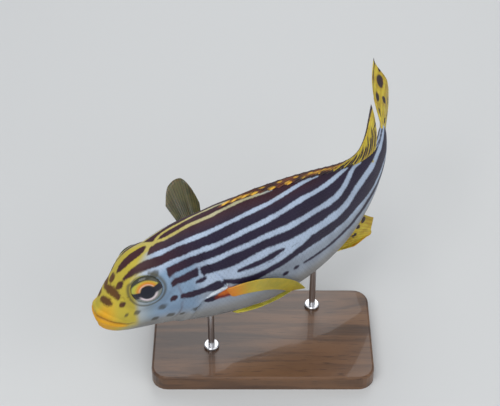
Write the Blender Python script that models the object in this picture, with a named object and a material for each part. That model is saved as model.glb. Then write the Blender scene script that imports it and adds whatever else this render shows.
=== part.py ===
"""Oriental sweetlips (Plectorhinchus vittatus), a life-size still model on a display stand.

Metres, +Z up. The origin is the centre of the base's underside. The snout points to -X,
the fish's left side faces -Y and its tail bends round towards +Y.

The body is laid out straight first, in standard lengths (snout to the root of the tail fin):
`s` runs from the snout (0) to the root of the tail fin (1), y is to the fish's right and z is up.
The straight body is then bent along its backbone, turned, and lifted onto the stand.
"""
import bpy
import bmesh
import numpy as np
from math import cos, pi, radians, sin
from mathutils import Vector
from mathutils.bvhtree import BVHTree

# The pose and the size of the whole fish
STANDARD_LENGTH = 0.328
AXIS_HEIGHT = 0.112
HEADING = radians(20.15)
PITCH = radians(-2.26)
PIVOT = 0.45
BEND_AT = (0.0, 0.25, 0.40, 0.55, 0.70, 0.85, 1.0, 1.22)
BEND_DEGREES = (0.0, 0.0, 4.0, 16.0, 24.0, 43.0, 62.0, 76.0)

# Clearance between neighbours that touch, how far a root is slid to find its seat, and the
# steepest slant that is allowed for there
GAP = 0.0003
SEAT_REACH = 0.012
SEAT_SLANT = 0.35
GAP_SL = GAP / STANDARD_LENGTH

# Stations of the body: place, back above the axis, belly below it, half width
STATIONS = (
    (0.00, -0.034, -0.074, 0.0160), (0.02, -0.004, -0.101, 0.0310), (0.05, 0.040, -0.116, 0.0480),
    (0.10, 0.093, -0.124, 0.0603), (0.15, 0.128, -0.131, 0.0620), (0.20, 0.153, -0.139, 0.0661),
    (0.25, 0.167, -0.152, 0.0710), (0.30, 0.176, -0.160, 0.0735), (0.35, 0.186, -0.166, 0.0743),
    (0.40, 0.190, -0.169, 0.0735), (0.50, 0.181, -0.168, 0.0677), (0.60, 0.158, -0.158, 0.0578),
    (0.70, 0.124, -0.134, 0.0446), (0.80, 0.088, -0.091, 0.0314), (0.90, 0.060, -0.055, 0.0207),
    (0.95, 0.055, -0.050, 0.0173), (1.00, 0.057, -0.054, 0.0132),
)
SECTION_FULLNESS = 2.1
COLUMNS = 40

# The front of the snout, which the lips hide
SNOUT_FRONT = 0.0085
SNOUT_TIP = 0.0065
SNOUT_TIP_HEIGHT = -0.050

# The rear edge of the gill cover: turn from the back (0) to the belly (1), place along the body
GILL_TURN = (0.0, 0.15, 0.30, 0.42, 0.50, 0.54, 0.58, 0.63, 0.72, 0.85, 1.0)
GILL_PLACE = (0.262, 0.262, 0.270, 0.295, 0.320, 0.326, 0.270, 0.252, 0.238, 0.216, 0.197)
GILL_GAP = 0.0008
FLAP_RISE = 0.0010
FLAP_THICKNESS = 0.0015
FLAP_UNDERCUT = 0.0050
FLAP_ROUNDING = 0.0004
FLAP_RIDGE = 0.0010
FLAP_CLEARANCE = 0.0005
GILL_WALL = 0.25
SHOULDER_LENGTH = 0.0045
TAIL_CUT = 0.84

# Eyes: place, size, how far they stand out of the skin, how far they look up, and the swelling
# of the orbit round them
EYE_PLACE = 0.128
EYE_HEIGHT = 0.0445
EYE_RADIUS = 0.0130
EYE_DEPTH = 0.0056
EYE_STAND_OUT = 0.0030
EYE_TILT = 0.12
EYE_ROWS = 8
EYE_SIDES = 22
ORBIT_RISE = 0.0038
ORBIT_RADIUS = 0.0158

# Mouth and lips, measured along the body and down from the axis
MOUTH_FRONT_HEIGHT = -0.035
MOUTH_CORNER_HEIGHT = -0.065
LIP_FRONT = 0.0118
LIP_CORNER = 0.074
LIP_HALF_WIDTH = 0.0400
UPPER_LIP_RISE = 0.0028
LOWER_LIP_RISE = 0.0037
LIP_DEPTH = 0.0046
LIP_CORNER_SCALE = 0.45
LIP_END_SCALE = 0.55
LIP_END_LENGTH = 0.0012
LIP_SWEEP_CLEARANCE = 0.02
MOUTH_SLIT = 0.0012

# Nostrils, a pair before each eye: place, height, radius
NOSTRILS = ((0.070, 0.022, 0.0013), (0.083, 0.027, 0.0010))
NOSTRIL_DEPTH = 0.0016
NOSTRIL_ROWS = 4
NOSTRIL_SIDES = 8

# Fins: thickness of the membrane, of a ray at its root and of the free edge, how far a ray
# thins, and its half width as a share of the space between rays
MEMBRANE = 0.0007
RAY_ROOT = 0.0020
FIN_EDGE = 0.0005
RAY_TAPER = 0.75
RAY_FOOT = 0.28
FIN_ROWS = 5

# Stand
BASE_LENGTH = 0.190
BASE_DEPTH = 0.106
BASE_HEIGHT = 0.014
BASE_CORNER = 0.014
BASE_BEVEL = 0.002
BASE_CORNER_STEPS = 6
ROD_RADIUS = 0.0028
ROD_FOOT_RADIUS = 0.0065
ROD_FOOT_HEIGHT = 0.003
ROD_FOOT_BEVEL = 0.0008
ROD_SIDES = 20
ROD_FRONT_PLACE = 0.300
ROD_REAR_PLACE = 0.610


def clear_scene():
    for item in list(bpy.data.objects):
        bpy.data.objects.remove(item, do_unlink=True)


def through(knots, values, at):
    """Smooth curve through the knots, with no overshoot between them."""
    x = np.asarray(knots, float)
    y = np.asarray(values, float)
    at = np.clip(np.asarray(at, float), x[0], x[-1])
    step = np.diff(x)
    rise = np.diff(y) / step
    slope = np.zeros_like(y)
    slope[0] = rise[0]
    slope[-1] = rise[-1]
    for i in range(1, len(x) - 1):
        if rise[i - 1] * rise[i] > 0:
            before = 2 * step[i] + step[i - 1]
            after = step[i] + 2 * step[i - 1]
            slope[i] = (before + after) / (before / rise[i - 1] + after / rise[i])
    i = np.clip(np.searchsorted(x, at, side="right") - 1, 0, len(x) - 2)
    t = (at - x[i]) / step[i]
    left = y[i] * (1 + 2 * t) * (1 - t) ** 2 + step[i] * slope[i] * t * (1 - t) ** 2
    right = y[i + 1] * t * t * (3 - 2 * t) + step[i] * slope[i + 1] * t * t * (t - 1)
    return left + right


def ease(start, end, at):
    """0 before start, 1 after end, smooth between."""
    t = np.clip((np.asarray(at, float) - start) / (end - start), 0, 1)
    return t * t * (3 - 2 * t)


def back_height(s):
    return through([row[0] for row in STATIONS], [row[1] for row in STATIONS], s)


def belly_height(s):
    return through([row[0] for row in STATIONS], [row[2] for row in STATIONS], s)


def half_width(s):
    return through([row[0] for row in STATIONS], [row[3] for row in STATIONS], s)


def orbit_rise(s, z):
    """How far the skin swells round the eye."""
    across = np.hypot(s - EYE_PLACE, z - EYE_HEIGHT) * STANDARD_LENGTH / ORBIT_RADIUS
    return ORBIT_RISE / STANDARD_LENGTH * (1 - ease(0.75, 1.6, across))


def skin(s, turn, lift=0.0):
    """Straight-body point on the skin at place s, turned from the back towards the right side
    (0 to 1 at the belly; minus is the left side), and lifted off the skin."""
    s = np.asarray(s, float)
    angle = np.asarray(turn, float) * pi
    back, belly, wide = back_height(s), belly_height(s), half_width(s)
    middle, tall = (back + belly) / 2, (back - belly) / 2
    y = wide * np.sign(np.sin(angle)) * np.abs(np.sin(angle)) ** (2 / SECTION_FULLNESS)
    z = middle + tall * np.cos(angle)
    ny, nz = y / wide ** 2, (z - middle) / tall ** 2
    size = np.hypot(ny, nz)
    lift = lift + orbit_rise(s, z)
    return s, y + lift * ny / size, z + lift * nz / size


def side_point(s, z, side, lift=0.0):
    """Point on the flank at place s and height z; side is -1 on the left and 1 on the right."""
    back, belly = back_height(s), belly_height(s)
    turn = np.arccos(np.clip((z - (back + belly) / 2) / ((back - belly) / 2), -1, 1)) / pi
    return skin(s, side * turn, lift)


def placed(s, y, z):
    """World points of straight-body points: bent, pitched, turned and lifted onto the stand."""
    s, y, z = np.broadcast_arrays(*[np.asarray(value, float) for value in (s, y, z)])
    grid = np.linspace(0, BEND_AT[-1], 489)
    bend = np.radians(through(BEND_AT, BEND_DEGREES, grid))
    step = grid[1]
    run = np.concatenate([[0], np.cumsum((np.cos(bend[1:]) + np.cos(bend[:-1])) / 2) * step])
    drift = np.concatenate([[0], np.cumsum((np.sin(bend[1:]) + np.sin(bend[:-1])) / 2) * step])
    here = np.radians(through(BEND_AT, BEND_DEGREES, s))
    along = np.interp(s, grid, run) - np.sin(here) * y - PIVOT
    along = along + np.minimum(s, 0)
    across = np.interp(s, grid, drift) + np.cos(here) * y
    ahead = cos(PITCH) * along + sin(PITCH) * z
    up = cos(PITCH) * z - sin(PITCH) * along
    world_x = cos(HEADING) * ahead - sin(HEADING) * across
    world_y = sin(HEADING) * ahead + cos(HEADING) * across
    points = np.stack([world_x, world_y, up], -1) * STANDARD_LENGTH
    return points + np.array([0.0, 0.0, AXIS_HEIGHT])


def material(name, colour, roughness, metallic=0.0):
    finish = bpy.data.materials.get(name)
    if finish is None:
        finish = bpy.data.materials.new(name)
        finish.use_nodes = True
        shader = finish.node_tree.nodes["Principled BSDF"]
        shader.inputs["Base Color"].default_value = (*colour, 1.0)
        shader.inputs["Roughness"].default_value = roughness
        shader.inputs["Metallic"].default_value = metallic
    return finish


SKIN_DARK = ("striped_skin", (0.16, 0.12, 0.17), 0.45)
SKIN_LIP = ("lip_skin", (0.72, 0.42, 0.06), 0.45)
FIN_YELLOW = ("fin_membrane", (0.62, 0.48, 0.05), 0.50)
EYE_GLOSS = ("eye", (0.05, 0.04, 0.05), 0.12)
WOOD_DARK = ("base_wood", (0.10, 0.055, 0.03), 0.45)
ROD_STEEL = ("rod_steel", (0.55, 0.55, 0.56), 0.30, 1.0)


def add_solid(name, points, faces, finish):
    """One closed object of the given points and faces, its faces turned outwards."""
    mesh = bpy.data.meshes.new(name)
    mesh.from_pydata([tuple(point) for point in points], [], faces)
    shell = bmesh.new()
    shell.from_mesh(mesh)
    bmesh.ops.recalc_face_normals(shell, faces=shell.faces)
    shell.to_mesh(mesh)
    shell.free()
    mesh.materials.append(material(*finish))
    mesh.shade_smooth()
    mesh.set_sharp_from_angle(angle=radians(40))
    solid = bpy.data.objects.new(name, mesh)
    bpy.context.collection.objects.link(solid)
    return solid


def ring_solid(name, rings, start, end, finish):
    """Closed body through rings of equal count, with a fan of faces at each end."""
    count = len(rings[0])
    points = [point for ring in rings for point in ring] + [start, end]
    faces = []
    for i in range(len(rings) - 1):
        for j in range(count):
            a, b = i * count + j, i * count + (j + 1) % count
            c, d = a + count, b + count
            faces += [(a, b, d), (a, d, c)]
    last = (len(rings) - 1) * count
    for j in range(count):
        faces.append((len(points) - 2, (j + 1) % count, j))
        faces.append((len(points) - 1, last + j, last + (j + 1) % count))
    return add_solid(name, points, faces, finish)


def keep_largest_shell(solid):
    """Drops every loose scrap that a cut leaves and keeps the largest closed surface."""
    shell = bmesh.new()
    shell.from_mesh(solid.data)
    shell.verts.ensure_lookup_table()
    left = set(range(len(shell.verts)))
    groups = []
    while left:
        stack = [left.pop()]
        group = set(stack)
        while stack:
            for edge in shell.verts[stack.pop()].link_edges:
                for vert in edge.verts:
                    if vert.index in left:
                        left.discard(vert.index)
                        group.add(vert.index)
                        stack.append(vert.index)
        groups.append(group)
    keep = max(groups, key=len)
    scraps = [vert for vert in shell.verts if vert.index not in keep]
    bmesh.ops.delete(shell, geom=scraps, context="VERTS")
    shell.to_mesh(solid.data)
    shell.free()


def carve(solid, cutters):
    """Cuts every cutter out of the solid at once and removes the cutters."""
    tray = bpy.data.collections.new("cutters")
    bpy.context.scene.collection.children.link(tray)
    for cutter in cutters:
        bpy.context.collection.objects.unlink(cutter)
        tray.objects.link(cutter)
    cut = solid.modifiers.new("cut", "BOOLEAN")
    cut.operation = "DIFFERENCE"
    cut.operand_type = "COLLECTION"
    cut.collection = tray
    cut.solver = "EXACT"
    finished = bpy.data.meshes.new_from_object(solid.evaluated_get(bpy.context.evaluated_depsgraph_get()))
    solid.modifiers.clear()
    solid.data = finished
    for cutter in cutters:
        bpy.data.objects.remove(cutter, do_unlink=True)
    bpy.data.collections.remove(tray)
    keep_largest_shell(solid)
    finished.materials.clear()
    finished.materials.append(material(*SKIN_DARK))


def turns():
    """Turns of the body's columns, once round from the back."""
    return -1 + 2 * np.arange(COLUMNS) / COLUMNS


def gill_edge(turn):
    return through(GILL_TURN, GILL_PLACE, np.abs(turn))


def flap(turn):
    """1 where the gill cover stands free, 0 where it grows into nape and throat."""
    side = np.abs(turn)
    return ease(0.14, 0.34, side) * (1 - ease(0.86, 0.97, side))


def metres(length):
    return length / STANDARD_LENGTH


def spindle(name, centre, axis, radius, depth, rows, sides):
    """Ellipsoid of revolution about an axis, with `depth` half way along it."""
    axis = Vector(axis).normalized()
    across = axis.orthogonal().normalized()
    third = axis.cross(across)
    centre = Vector(centre)
    rings = []
    for i in range(1, rows):
        angle = pi * i / rows
        ring = []
        for j in range(sides):
            round_angle = 2 * pi * j / sides
            out = (across * cos(round_angle) + third * sin(round_angle)) * (radius * sin(angle))
            ring.append(centre + axis * (depth * cos(angle)) + out)
        rings.append(ring)
    return ring_solid(name, rings, centre + axis * depth, centre - axis * depth, EYE_GLOSS)


def eye_frame(side):
    """Centre and outward direction of an eye, from the skin that carries it."""
    here = Vector(placed(*side_point(EYE_PLACE, EYE_HEIGHT, side)))
    along = Vector(placed(*side_point(EYE_PLACE + 0.03, EYE_HEIGHT, side)))
    along = along - Vector(placed(*side_point(EYE_PLACE - 0.03, EYE_HEIGHT, side)))
    above = Vector(placed(*side_point(EYE_PLACE, EYE_HEIGHT + 0.03, side)))
    above = above - Vector(placed(*side_point(EYE_PLACE, EYE_HEIGHT - 0.03, side)))
    outward = along.cross(above).normalized() * -side
    outward = Vector((outward.x, outward.y, EYE_TILT)).normalized()
    centre = here + outward * (EYE_STAND_OUT - EYE_DEPTH)
    return centre, outward


def mouth_height(s):
    """Height of the line of the mouth at place s."""
    return through((0.0, LIP_CORNER), (MOUTH_FRONT_HEIGHT, MOUTH_CORNER_HEIGHT), s)


def lip_tube(name, rise_sign, rise, depth, grow, finish, steps=18, sides=10):
    """Lip round the front of the snout: a horseshoe tube that thins towards the corners.
    rise_sign is 1 above the line of the mouth, -1 below it and 0 on it."""
    sweep = pi / 2 + grow / LIP_SWEEP_CLEARANCE
    rings = []
    ends = []
    for i in range(steps + 1):
        angle = -sweep + 2 * sweep * i / steps
        s = LIP_CORNER - (LIP_CORNER - LIP_FRONT) * cos(angle)
        y = LIP_HALF_WIDTH * sin(angle)
        thin = 1 - (1 - LIP_CORNER_SCALE) * abs(sin(angle)) ** 6
        tall = metres(rise * thin + grow)
        deep = metres(depth * thin + grow)
        lift = metres(rise * thin + GAP / 2) * rise_sign
        centre = np.array([s, y, mouth_height(s) + lift])
        outward = np.array([-cos(angle) * LIP_HALF_WIDTH, sin(angle) * (LIP_CORNER - LIP_FRONT), 0.0])
        outward = outward / np.linalg.norm(outward)
        last = i in (0, steps)
        ring = []
        for j in range(sides):
            a = 2 * pi * j / sides
            size = LIP_END_SCALE if last else 1.0
            offset = outward * (deep * cos(a) * size) + np.array([0, 0, tall * sin(a) * size])
            ring.append(placed(*(centre + offset)))
        rings.append(ring)
        if last:
            tangent = np.array([-outward[1], outward[0], 0.0]) * (1 if i else -1)
            ends.append(placed(*(centre + tangent * metres(LIP_END_LENGTH + grow))))
    return ring_solid(name, rings, ends[0], ends[1], finish)


def build_head():
    turn = turns()
    edge = gill_edge(turn)
    rings = []
    shares = (0.000, 0.035, 0.085, 0.14, 0.20, 0.27, 0.34, 0.41, 0.48, 0.55, 0.62, 0.70, 0.78, 0.86, 0.93)
    for share in shares:
        s = SNOUT_FRONT + (edge - SNOUT_FRONT) * share
        rings.append(placed(*skin(s, turn)))
    free = flap(turn)
    rings.append(placed(*skin(edge - metres(FLAP_RIDGE), turn, metres(FLAP_RISE) * free)))
    outer = metres(FLAP_RISE) * free - metres(FLAP_ROUNDING)
    under = metres(FLAP_RISE - FLAP_THICKNESS) * free - metres(FLAP_ROUNDING)
    rings.append(placed(*skin(edge, turn, outer)))
    rings.append(placed(*skin(edge, turn, under)))
    inner = edge - metres(FLAP_UNDERCUT)
    rings.append(placed(*skin(inner, turn, -metres(FLAP_THICKNESS))))
    snout_tip = placed(SNOUT_TIP, 0, SNOUT_TIP_HEIGHT)
    head = ring_solid("head", rings, snout_tip, placed(GILL_WALL, 0, 0), SKIN_DARK)
    cutters = []
    for side in (-1, 1):
        centre, outward = eye_frame(side)
        radius, depth = EYE_RADIUS + GAP, EYE_DEPTH + GAP
        cutters.append(spindle("socket", centre, outward, radius, depth, EYE_ROWS, EYE_SIDES))
        for place, height, radius in NOSTRILS:
            pit = Vector(placed(*side_point(place, height, side)))
            inside = Vector(placed(*side_point(place, height, side, -metres(NOSTRIL_DEPTH))))
            way = pit - inside
            cutters.append(spindle("pit", pit, way, radius, NOSTRIL_DEPTH, NOSTRIL_ROWS, NOSTRIL_SIDES))
    cutters.append(lip_tube("upper_bed", 1, UPPER_LIP_RISE, LIP_DEPTH, GAP, SKIN_LIP))
    cutters.append(lip_tube("lower_bed", -1, LOWER_LIP_RISE, LIP_DEPTH, GAP, SKIN_LIP))
    cutters.append(lip_tube("mouth_slit", 0, MOUTH_SLIT, LIP_DEPTH + MOUTH_SLIT, GAP, SKIN_LIP))
    carve(head, cutters)
    return head


def build_lips():
    lip_tube("upper_lip", 1, UPPER_LIP_RISE, LIP_DEPTH, 0.0, SKIN_LIP)
    lip_tube("lower_lip", -1, LOWER_LIP_RISE, LIP_DEPTH, 0.0, SKIN_LIP)


def build_eyes():
    for side, name in ((-1, "eye_left"), (1, "eye_right")):
        centre, outward = eye_frame(side)
        spindle(name, centre, outward, EYE_RADIUS, EYE_DEPTH, EYE_ROWS, EYE_SIDES)


def build_torso():
    turn = turns()
    edge = gill_edge(turn)
    start = edge + metres(GILL_GAP)
    rings = [placed(*skin(start - metres(FLAP_UNDERCUT), turn, -metres(FLAP_THICKNESS + FLAP_CLEARANCE)))]
    shoulder = start + metres(SHOULDER_LENGTH)
    for share in (0.0, 0.10, 0.20, 0.30, 0.40, 0.50, 0.60, 0.70, 0.80, 0.90, 1.0):
        rings.append(placed(*skin(shoulder + (TAIL_CUT - shoulder) * share, turn)))
    middle = (back_height(TAIL_CUT) + belly_height(TAIL_CUT)) / 2
    gill_wall = placed(GILL_WALL + metres(GILL_GAP), 0, 0)
    return ring_solid("torso", rings, gill_wall, placed(TAIL_CUT, 0, middle), SKIN_DARK)


def build_tail():
    turn = turns()
    start = TAIL_CUT + GAP_SL
    rings = []
    for s in np.linspace(start, 1.0, 8):
        rings.append(placed(*skin(np.full(COLUMNS, s), turn)))
    first = placed(start, 0, (back_height(start) + belly_height(start)) / 2)
    last = placed(1.0, 0, (back_height(1.0) + belly_height(1.0)) / 2)
    return ring_solid("tail", rings, first, last, SKIN_DARK)


def surface_of(solids):
    """Search tree over the faces of the given solids, all at the origin."""
    points, faces = [], []
    for solid in solids:
        first = len(points)
        points += [vert.co.copy() for vert in solid.data.vertices]
        faces += [tuple(first + i for i in face.vertices) for face in solid.data.polygons]
    return BVHTree.FromPolygons(points, faces)


def seat(points, inward, surface):
    """Slides root points along `inward` until they stand off the surface by the gap."""
    seated = []
    for point, heading in zip(points, inward):
        heading = Vector(heading).normalized()
        start = Vector(point) - heading * SEAT_REACH
        hit, normal, _, _ = surface.ray_cast(start, heading, 3 * SEAT_REACH)
        if hit is None:
            seated.append(np.array(point))
            continue
        slant = max(SEAT_SLANT, abs(normal.dot(heading)))
        seated.append(np.array(hit - heading * (GAP / slant)))
    return np.array(seated)


def ray_columns(rays):
    """Places of a fin's columns from 0 to 1, with a crest on each ray and a foot on either side."""
    columns, crests = [], []
    for i in range(rays):
        middle = (i + 0.5) / rays
        for shift, crest in ((-RAY_FOOT, 0.0), (0.0, 1.0), (RAY_FOOT, 0.0)):
            columns.append(middle + shift / rays)
            crests.append(crest)
    columns = np.array(columns)
    columns = (columns - columns[0]) / (columns[-1] - columns[0])
    return columns, np.array(crests)


def vane(name, grid, crests, inward, surface, root_extra=None):
    """Closed thin fin about a grid of world points (rows from root to tip, columns along the fin).
    Rays stand out of both faces as ridges, and both faces are split into triangles alike."""
    rows, columns = grid.shape[:2]
    down = np.gradient(grid, axis=0)
    across = np.gradient(grid, axis=1)
    normal = np.cross(down, across)
    normal /= np.linalg.norm(normal, axis=-1, keepdims=True)
    out = np.linspace(0, 1, rows)[:, None]
    ray = MEMBRANE + (RAY_ROOT - MEMBRANE) * (1 - RAY_TAPER * out)
    thick = MEMBRANE + (ray - MEMBRANE) * crests[None, :]
    thick = np.where(out == 1.0, FIN_EDGE, thick)
    if root_extra is not None:
        thick = thick + root_extra
    near = grid + normal * thick[..., None] / 2
    far = grid - normal * thick[..., None] / 2
    near[0] = seat(near[0], inward, surface)
    far[0] = seat(far[0], inward, surface)
    points = np.concatenate([near.reshape(-1, 3), far.reshape(-1, 3)])
    half = rows * columns
    faces = []
    for i in range(rows - 1):
        for j in range(columns - 1):
            a, b = i * columns + j, i * columns + j + 1
            c, d = a + columns, b + columns
            faces += [(a, b, d), (a, d, c), (half + a, half + d, half + b), (half + a, half + c, half + d)]
    rim = list(range(columns))
    rim += [i * columns + columns - 1 for i in range(1, rows)]
    rim += [(rows - 1) * columns + j for j in range(columns - 2, -1, -1)]
    rim += [i * columns for i in range(rows - 2, 0, -1)]
    for a, b in zip(rim, rim[1:] + rim[:1]):
        faces += [(a, half + a, half + b), (a, half + b, b)]
    return add_solid(name, points, faces, FIN_YELLOW)


# Folded dorsal fin along its base: place, reach of a ray to the rear, height of its tip off the back
DORSAL_AT = (0.330, 0.36, 0.42, 0.50, 0.58, 0.66, 0.72, 0.78, 0.83, 0.87, 0.90)
DORSAL_REACH = (0.050, 0.070, 0.085, 0.085, 0.080, 0.080, 0.085, 0.085, 0.080, 0.070, 0.055)
DORSAL_TIP = (0.012, 0.020, 0.025, 0.026, 0.025, 0.027, 0.037, 0.060, 0.088, 0.110, 0.112)
DORSAL_SPINES = 13
DORSAL_RAYS = 18
DORSAL_START = 0.333
DORSAL_SPLIT = 0.660
DORSAL_END = 0.885
DORSAL_LEAN = 0.028
DORSAL_NOTCH = 0.002
SPINE_INCISION = 0.03
RAY_INCISION = 0.03


def dorsal_grid(base, incision, crests):
    """World grid of the dorsal fin over the base places given, with notches between its rays."""
    out = np.linspace(0, 1, FIN_ROWS)[:, None]
    reach = through(DORSAL_AT, DORSAL_REACH, base)[None, :]
    tip = through(DORSAL_AT, DORSAL_TIP, base)[None, :]
    trim = 1 - incision * (1 - crests)[None, :] * out
    s = base[None, :] + reach * out * trim
    z = back_height(np.minimum(s, 1.0)) + GAP_SL + tip * out * trim
    lean = DORSAL_LEAN * ease(0.62, 0.85, base)[None, :] * out ** 2
    return placed(s, lean, z)


def build_dorsal(surface):
    down = [Vector((0, 0, -1))]
    for name, first, last, rays, incision in (
            ("dorsal_fin_spiny", DORSAL_START, DORSAL_SPLIT - DORSAL_NOTCH, DORSAL_SPINES, SPINE_INCISION),
            ("dorsal_fin_soft", DORSAL_SPLIT + DORSAL_NOTCH, DORSAL_END, DORSAL_RAYS, RAY_INCISION)):
        columns, crests = ray_columns(rays)
        base = first + (last - first) * columns
        grid = dorsal_grid(base, incision, crests)
        vane(name, grid, crests, down * len(base), surface)


# Anal fin, folded back and leaning to the left
ANAL_AT = (0.665, 0.69, 0.72, 0.76, 0.80)
ANAL_REACH = (0.070, 0.098, 0.090, 0.050, 0.022)
ANAL_TIP = (0.025, 0.058, 0.074, 0.056, 0.030)
ANAL_CLEAR = 0.004
ANAL_RAYS = 11
ANAL_LEAN = -0.028


def build_anal(surface):
    columns, crests = ray_columns(ANAL_RAYS)
    base = ANAL_AT[0] + (ANAL_AT[-1] - ANAL_AT[0]) * columns
    out = np.linspace(0, 1, FIN_ROWS)[:, None]
    reach = through(ANAL_AT, ANAL_REACH, base)[None, :]
    tip = through(ANAL_AT, ANAL_TIP, base)[None, :]
    s = base[None, :] + reach * out
    z = belly_height(s) - GAP_SL - tip * out - ANAL_CLEAR * ease(0, 0.25, out)
    y = ANAL_LEAN * out ** 1.5
    vane("anal_fin", placed(s, y, z), crests, [Vector((0, 0, 1))] * len(base), surface)


# Tail fin: rays fan out from the end of the tail
CAUDAL_RAYS = 17
CAUDAL_ROOT = (-0.052, 0.055)
CAUDAL_TIP = 0.125
CAUDAL_LENGTH = 0.170
CAUDAL_LOBE = 0.050
CAUDAL_CUP = 0.026


def build_caudal(surface):
    columns, crests = ray_columns(CAUDAL_RAYS)
    fan = (2 * columns - 1)[None, :]
    out = np.linspace(0, 1, 6)[:, None] ** 1.15
    root = CAUDAL_ROOT[0] + (CAUDAL_ROOT[1] - CAUDAL_ROOT[0]) * columns[None, :]
    tip = CAUDAL_TIP * fan
    end = 1.0 + CAUDAL_LENGTH + CAUDAL_LOBE * np.abs(fan) ** 1.6
    start = 1.0 + GAP_SL
    s = start + (end - start) * out
    z = root + (tip - root) * out
    top = CAUDAL_CUP * np.sin(pi * 0.85 * out) * ease(0.3, 1.0, fan)
    rest = CAUDAL_CUP * out ** 1.5 * (1 - ease(0.5, 1.0, fan))
    wide = 2 * half_width(1.0) * STANDARD_LENGTH * 0.80 * np.sqrt(1 - (0.97 * fan) ** 2)
    extra = (wide - RAY_ROOT) * (1 - ease(0.0, 0.30, out))
    grid = placed(s, top - rest, z)
    ahead = Vector(placed(1.0, 0, 0)) - Vector(placed(1.05, 0, 0))
    vane("caudal_fin", grid, crests, [ahead] * len(columns), surface, root_extra=np.maximum(extra, 0))


# Paired fins: number of rays and the ends of the root. The rays of a fin run from the root to
# their tips as curves drawn towards a control point; tips and controls are in standard lengths.
PECTORAL_RAYS = 15
PECTORAL_ROOT = ((0.315, -0.024), (0.330, -0.054))
PECTORAL_SEAT = (0.322, -0.036)
FOLDED_TIP = (0.5364, -0.0591, -0.1424)
FOLDED_CONTROL = (0.4424, -0.1006, 0.0069)
FOLDED_SPREAD = (-0.0188, 0.0075, -0.0677)
FOLDED_TAPER = 0.0581
RAISED_SWING = (-24.3, 14.2)
RAISED_LENGTH = (0.150, 0.174, 0.174, 0.106)
RAISED_HEIGHT = (0.0835, 0.0431, 0.0102)
RAISED_CONTROL = 0.012
PELVIC_RAYS = 6
PELVIC_ROOT = ((0.352, 0.026), (0.376, 0.013))
PELVIC_DEPTH = 0.003
PELVIC_TIP = ((0.560, 0.016, -0.172), (0.529, 0.006, -0.172))
PELVIC_CONTROL = ((0.440, 0.020, -0.195), (0.440, 0.0096, -0.1966))


def unit(vector):
    return vector / np.linalg.norm(vector, axis=-1, keepdims=True)


def flank_root(columns, side):
    """Root points of a pectoral fin on the flank, from its upper to its lower end."""
    (s0, z0), (s1, z1) = PECTORAL_ROOT
    s, y, z = side_point(s0 + (s1 - s0) * columns, z0 + (z1 - z0) * columns, side, GAP_SL)
    return np.stack([s, y, z], -1)


def bowed(root, control, tip):
    """Rays as quadratic curves from root to tip, as a grid of straight-body points."""
    out = np.linspace(0, 1, FIN_ROWS)[:, None, None]
    return (1 - out) ** 2 * root + 2 * out * (1 - out) * control + out ** 2 * tip


def build_pectorals(surface):
    columns, crests = ray_columns(PECTORAL_RAYS)
    share = columns[:, None]
    root = flank_root(columns, -1)
    along = unit(np.array(FOLDED_TIP) - root.mean(0))
    tip = np.array(FOLDED_TIP) - along * FOLDED_TAPER * share ** 1.3
    control = np.array(FOLDED_CONTROL) + np.array(FOLDED_SPREAD) * (share - 0.42)
    grid = bowed(root[None], control[None], tip[None])
    world = placed(grid[..., 0], grid[..., 1], grid[..., 2])
    seat_s, seat_z = PECTORAL_SEAT
    inward = placed(seat_s, 0.0, seat_z) - placed(seat_s, -half_width(seat_s), seat_z)
    vane("pectoral_fin_left", world, crests, [Vector(inward)] * len(columns), surface)

    root = flank_root(columns, 1)
    middle = root.mean(0)
    swing = np.radians(RAISED_SWING[0] + (RAISED_SWING[1] - RAISED_SWING[0]) * share)
    length = through((0.0, 0.3, 0.6, 1.0), RAISED_LENGTH, share)
    low, crown, slope = RAISED_HEIGHT
    heading = np.concatenate([np.sin(swing), np.cos(swing), 0 * swing], 1)
    tip = middle + heading * length
    tip[:, 2:] = middle[2] + low + crown * np.sin(pi * share) + slope * share
    control = middle + heading * length * 0.5
    control[:, 2:] = root[:, 2:] + RAISED_CONTROL
    grid = bowed(root[None], control[None], tip[None])
    world = placed(grid[..., 0], grid[..., 1], grid[..., 2])
    vane("pectoral_fin_right", world, crests, [-Vector(inward)] * len(columns), surface)


def build_pelvics(surface):
    columns, crests = ray_columns(PELVIC_RAYS)
    share = columns[:, None]
    for side, name in ((-1, "pelvic_fin_left"), (1, "pelvic_fin_right")):
        mirror = np.array([1, side, 1])
        (s0, y0), (s1, y1) = PELVIC_ROOT
        s = s0 + (s1 - s0) * columns
        y = y0 + (y1 - y0) * columns
        root = np.stack([s, y, belly_height(s) - GAP_SL + PELVIC_DEPTH], -1) * mirror
        outer, inner = np.array(PELVIC_TIP) * mirror
        tip = outer + (inner - outer) * share
        outer, inner = np.array(PELVIC_CONTROL) * mirror
        control = outer + (inner - outer) * share
        grid = bowed(root[None], control[None], tip[None])
        world = placed(grid[..., 0], grid[..., 1], grid[..., 2])
        vane(name, world, crests, [Vector((0, 0, 1))] * len(columns), surface)


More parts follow.
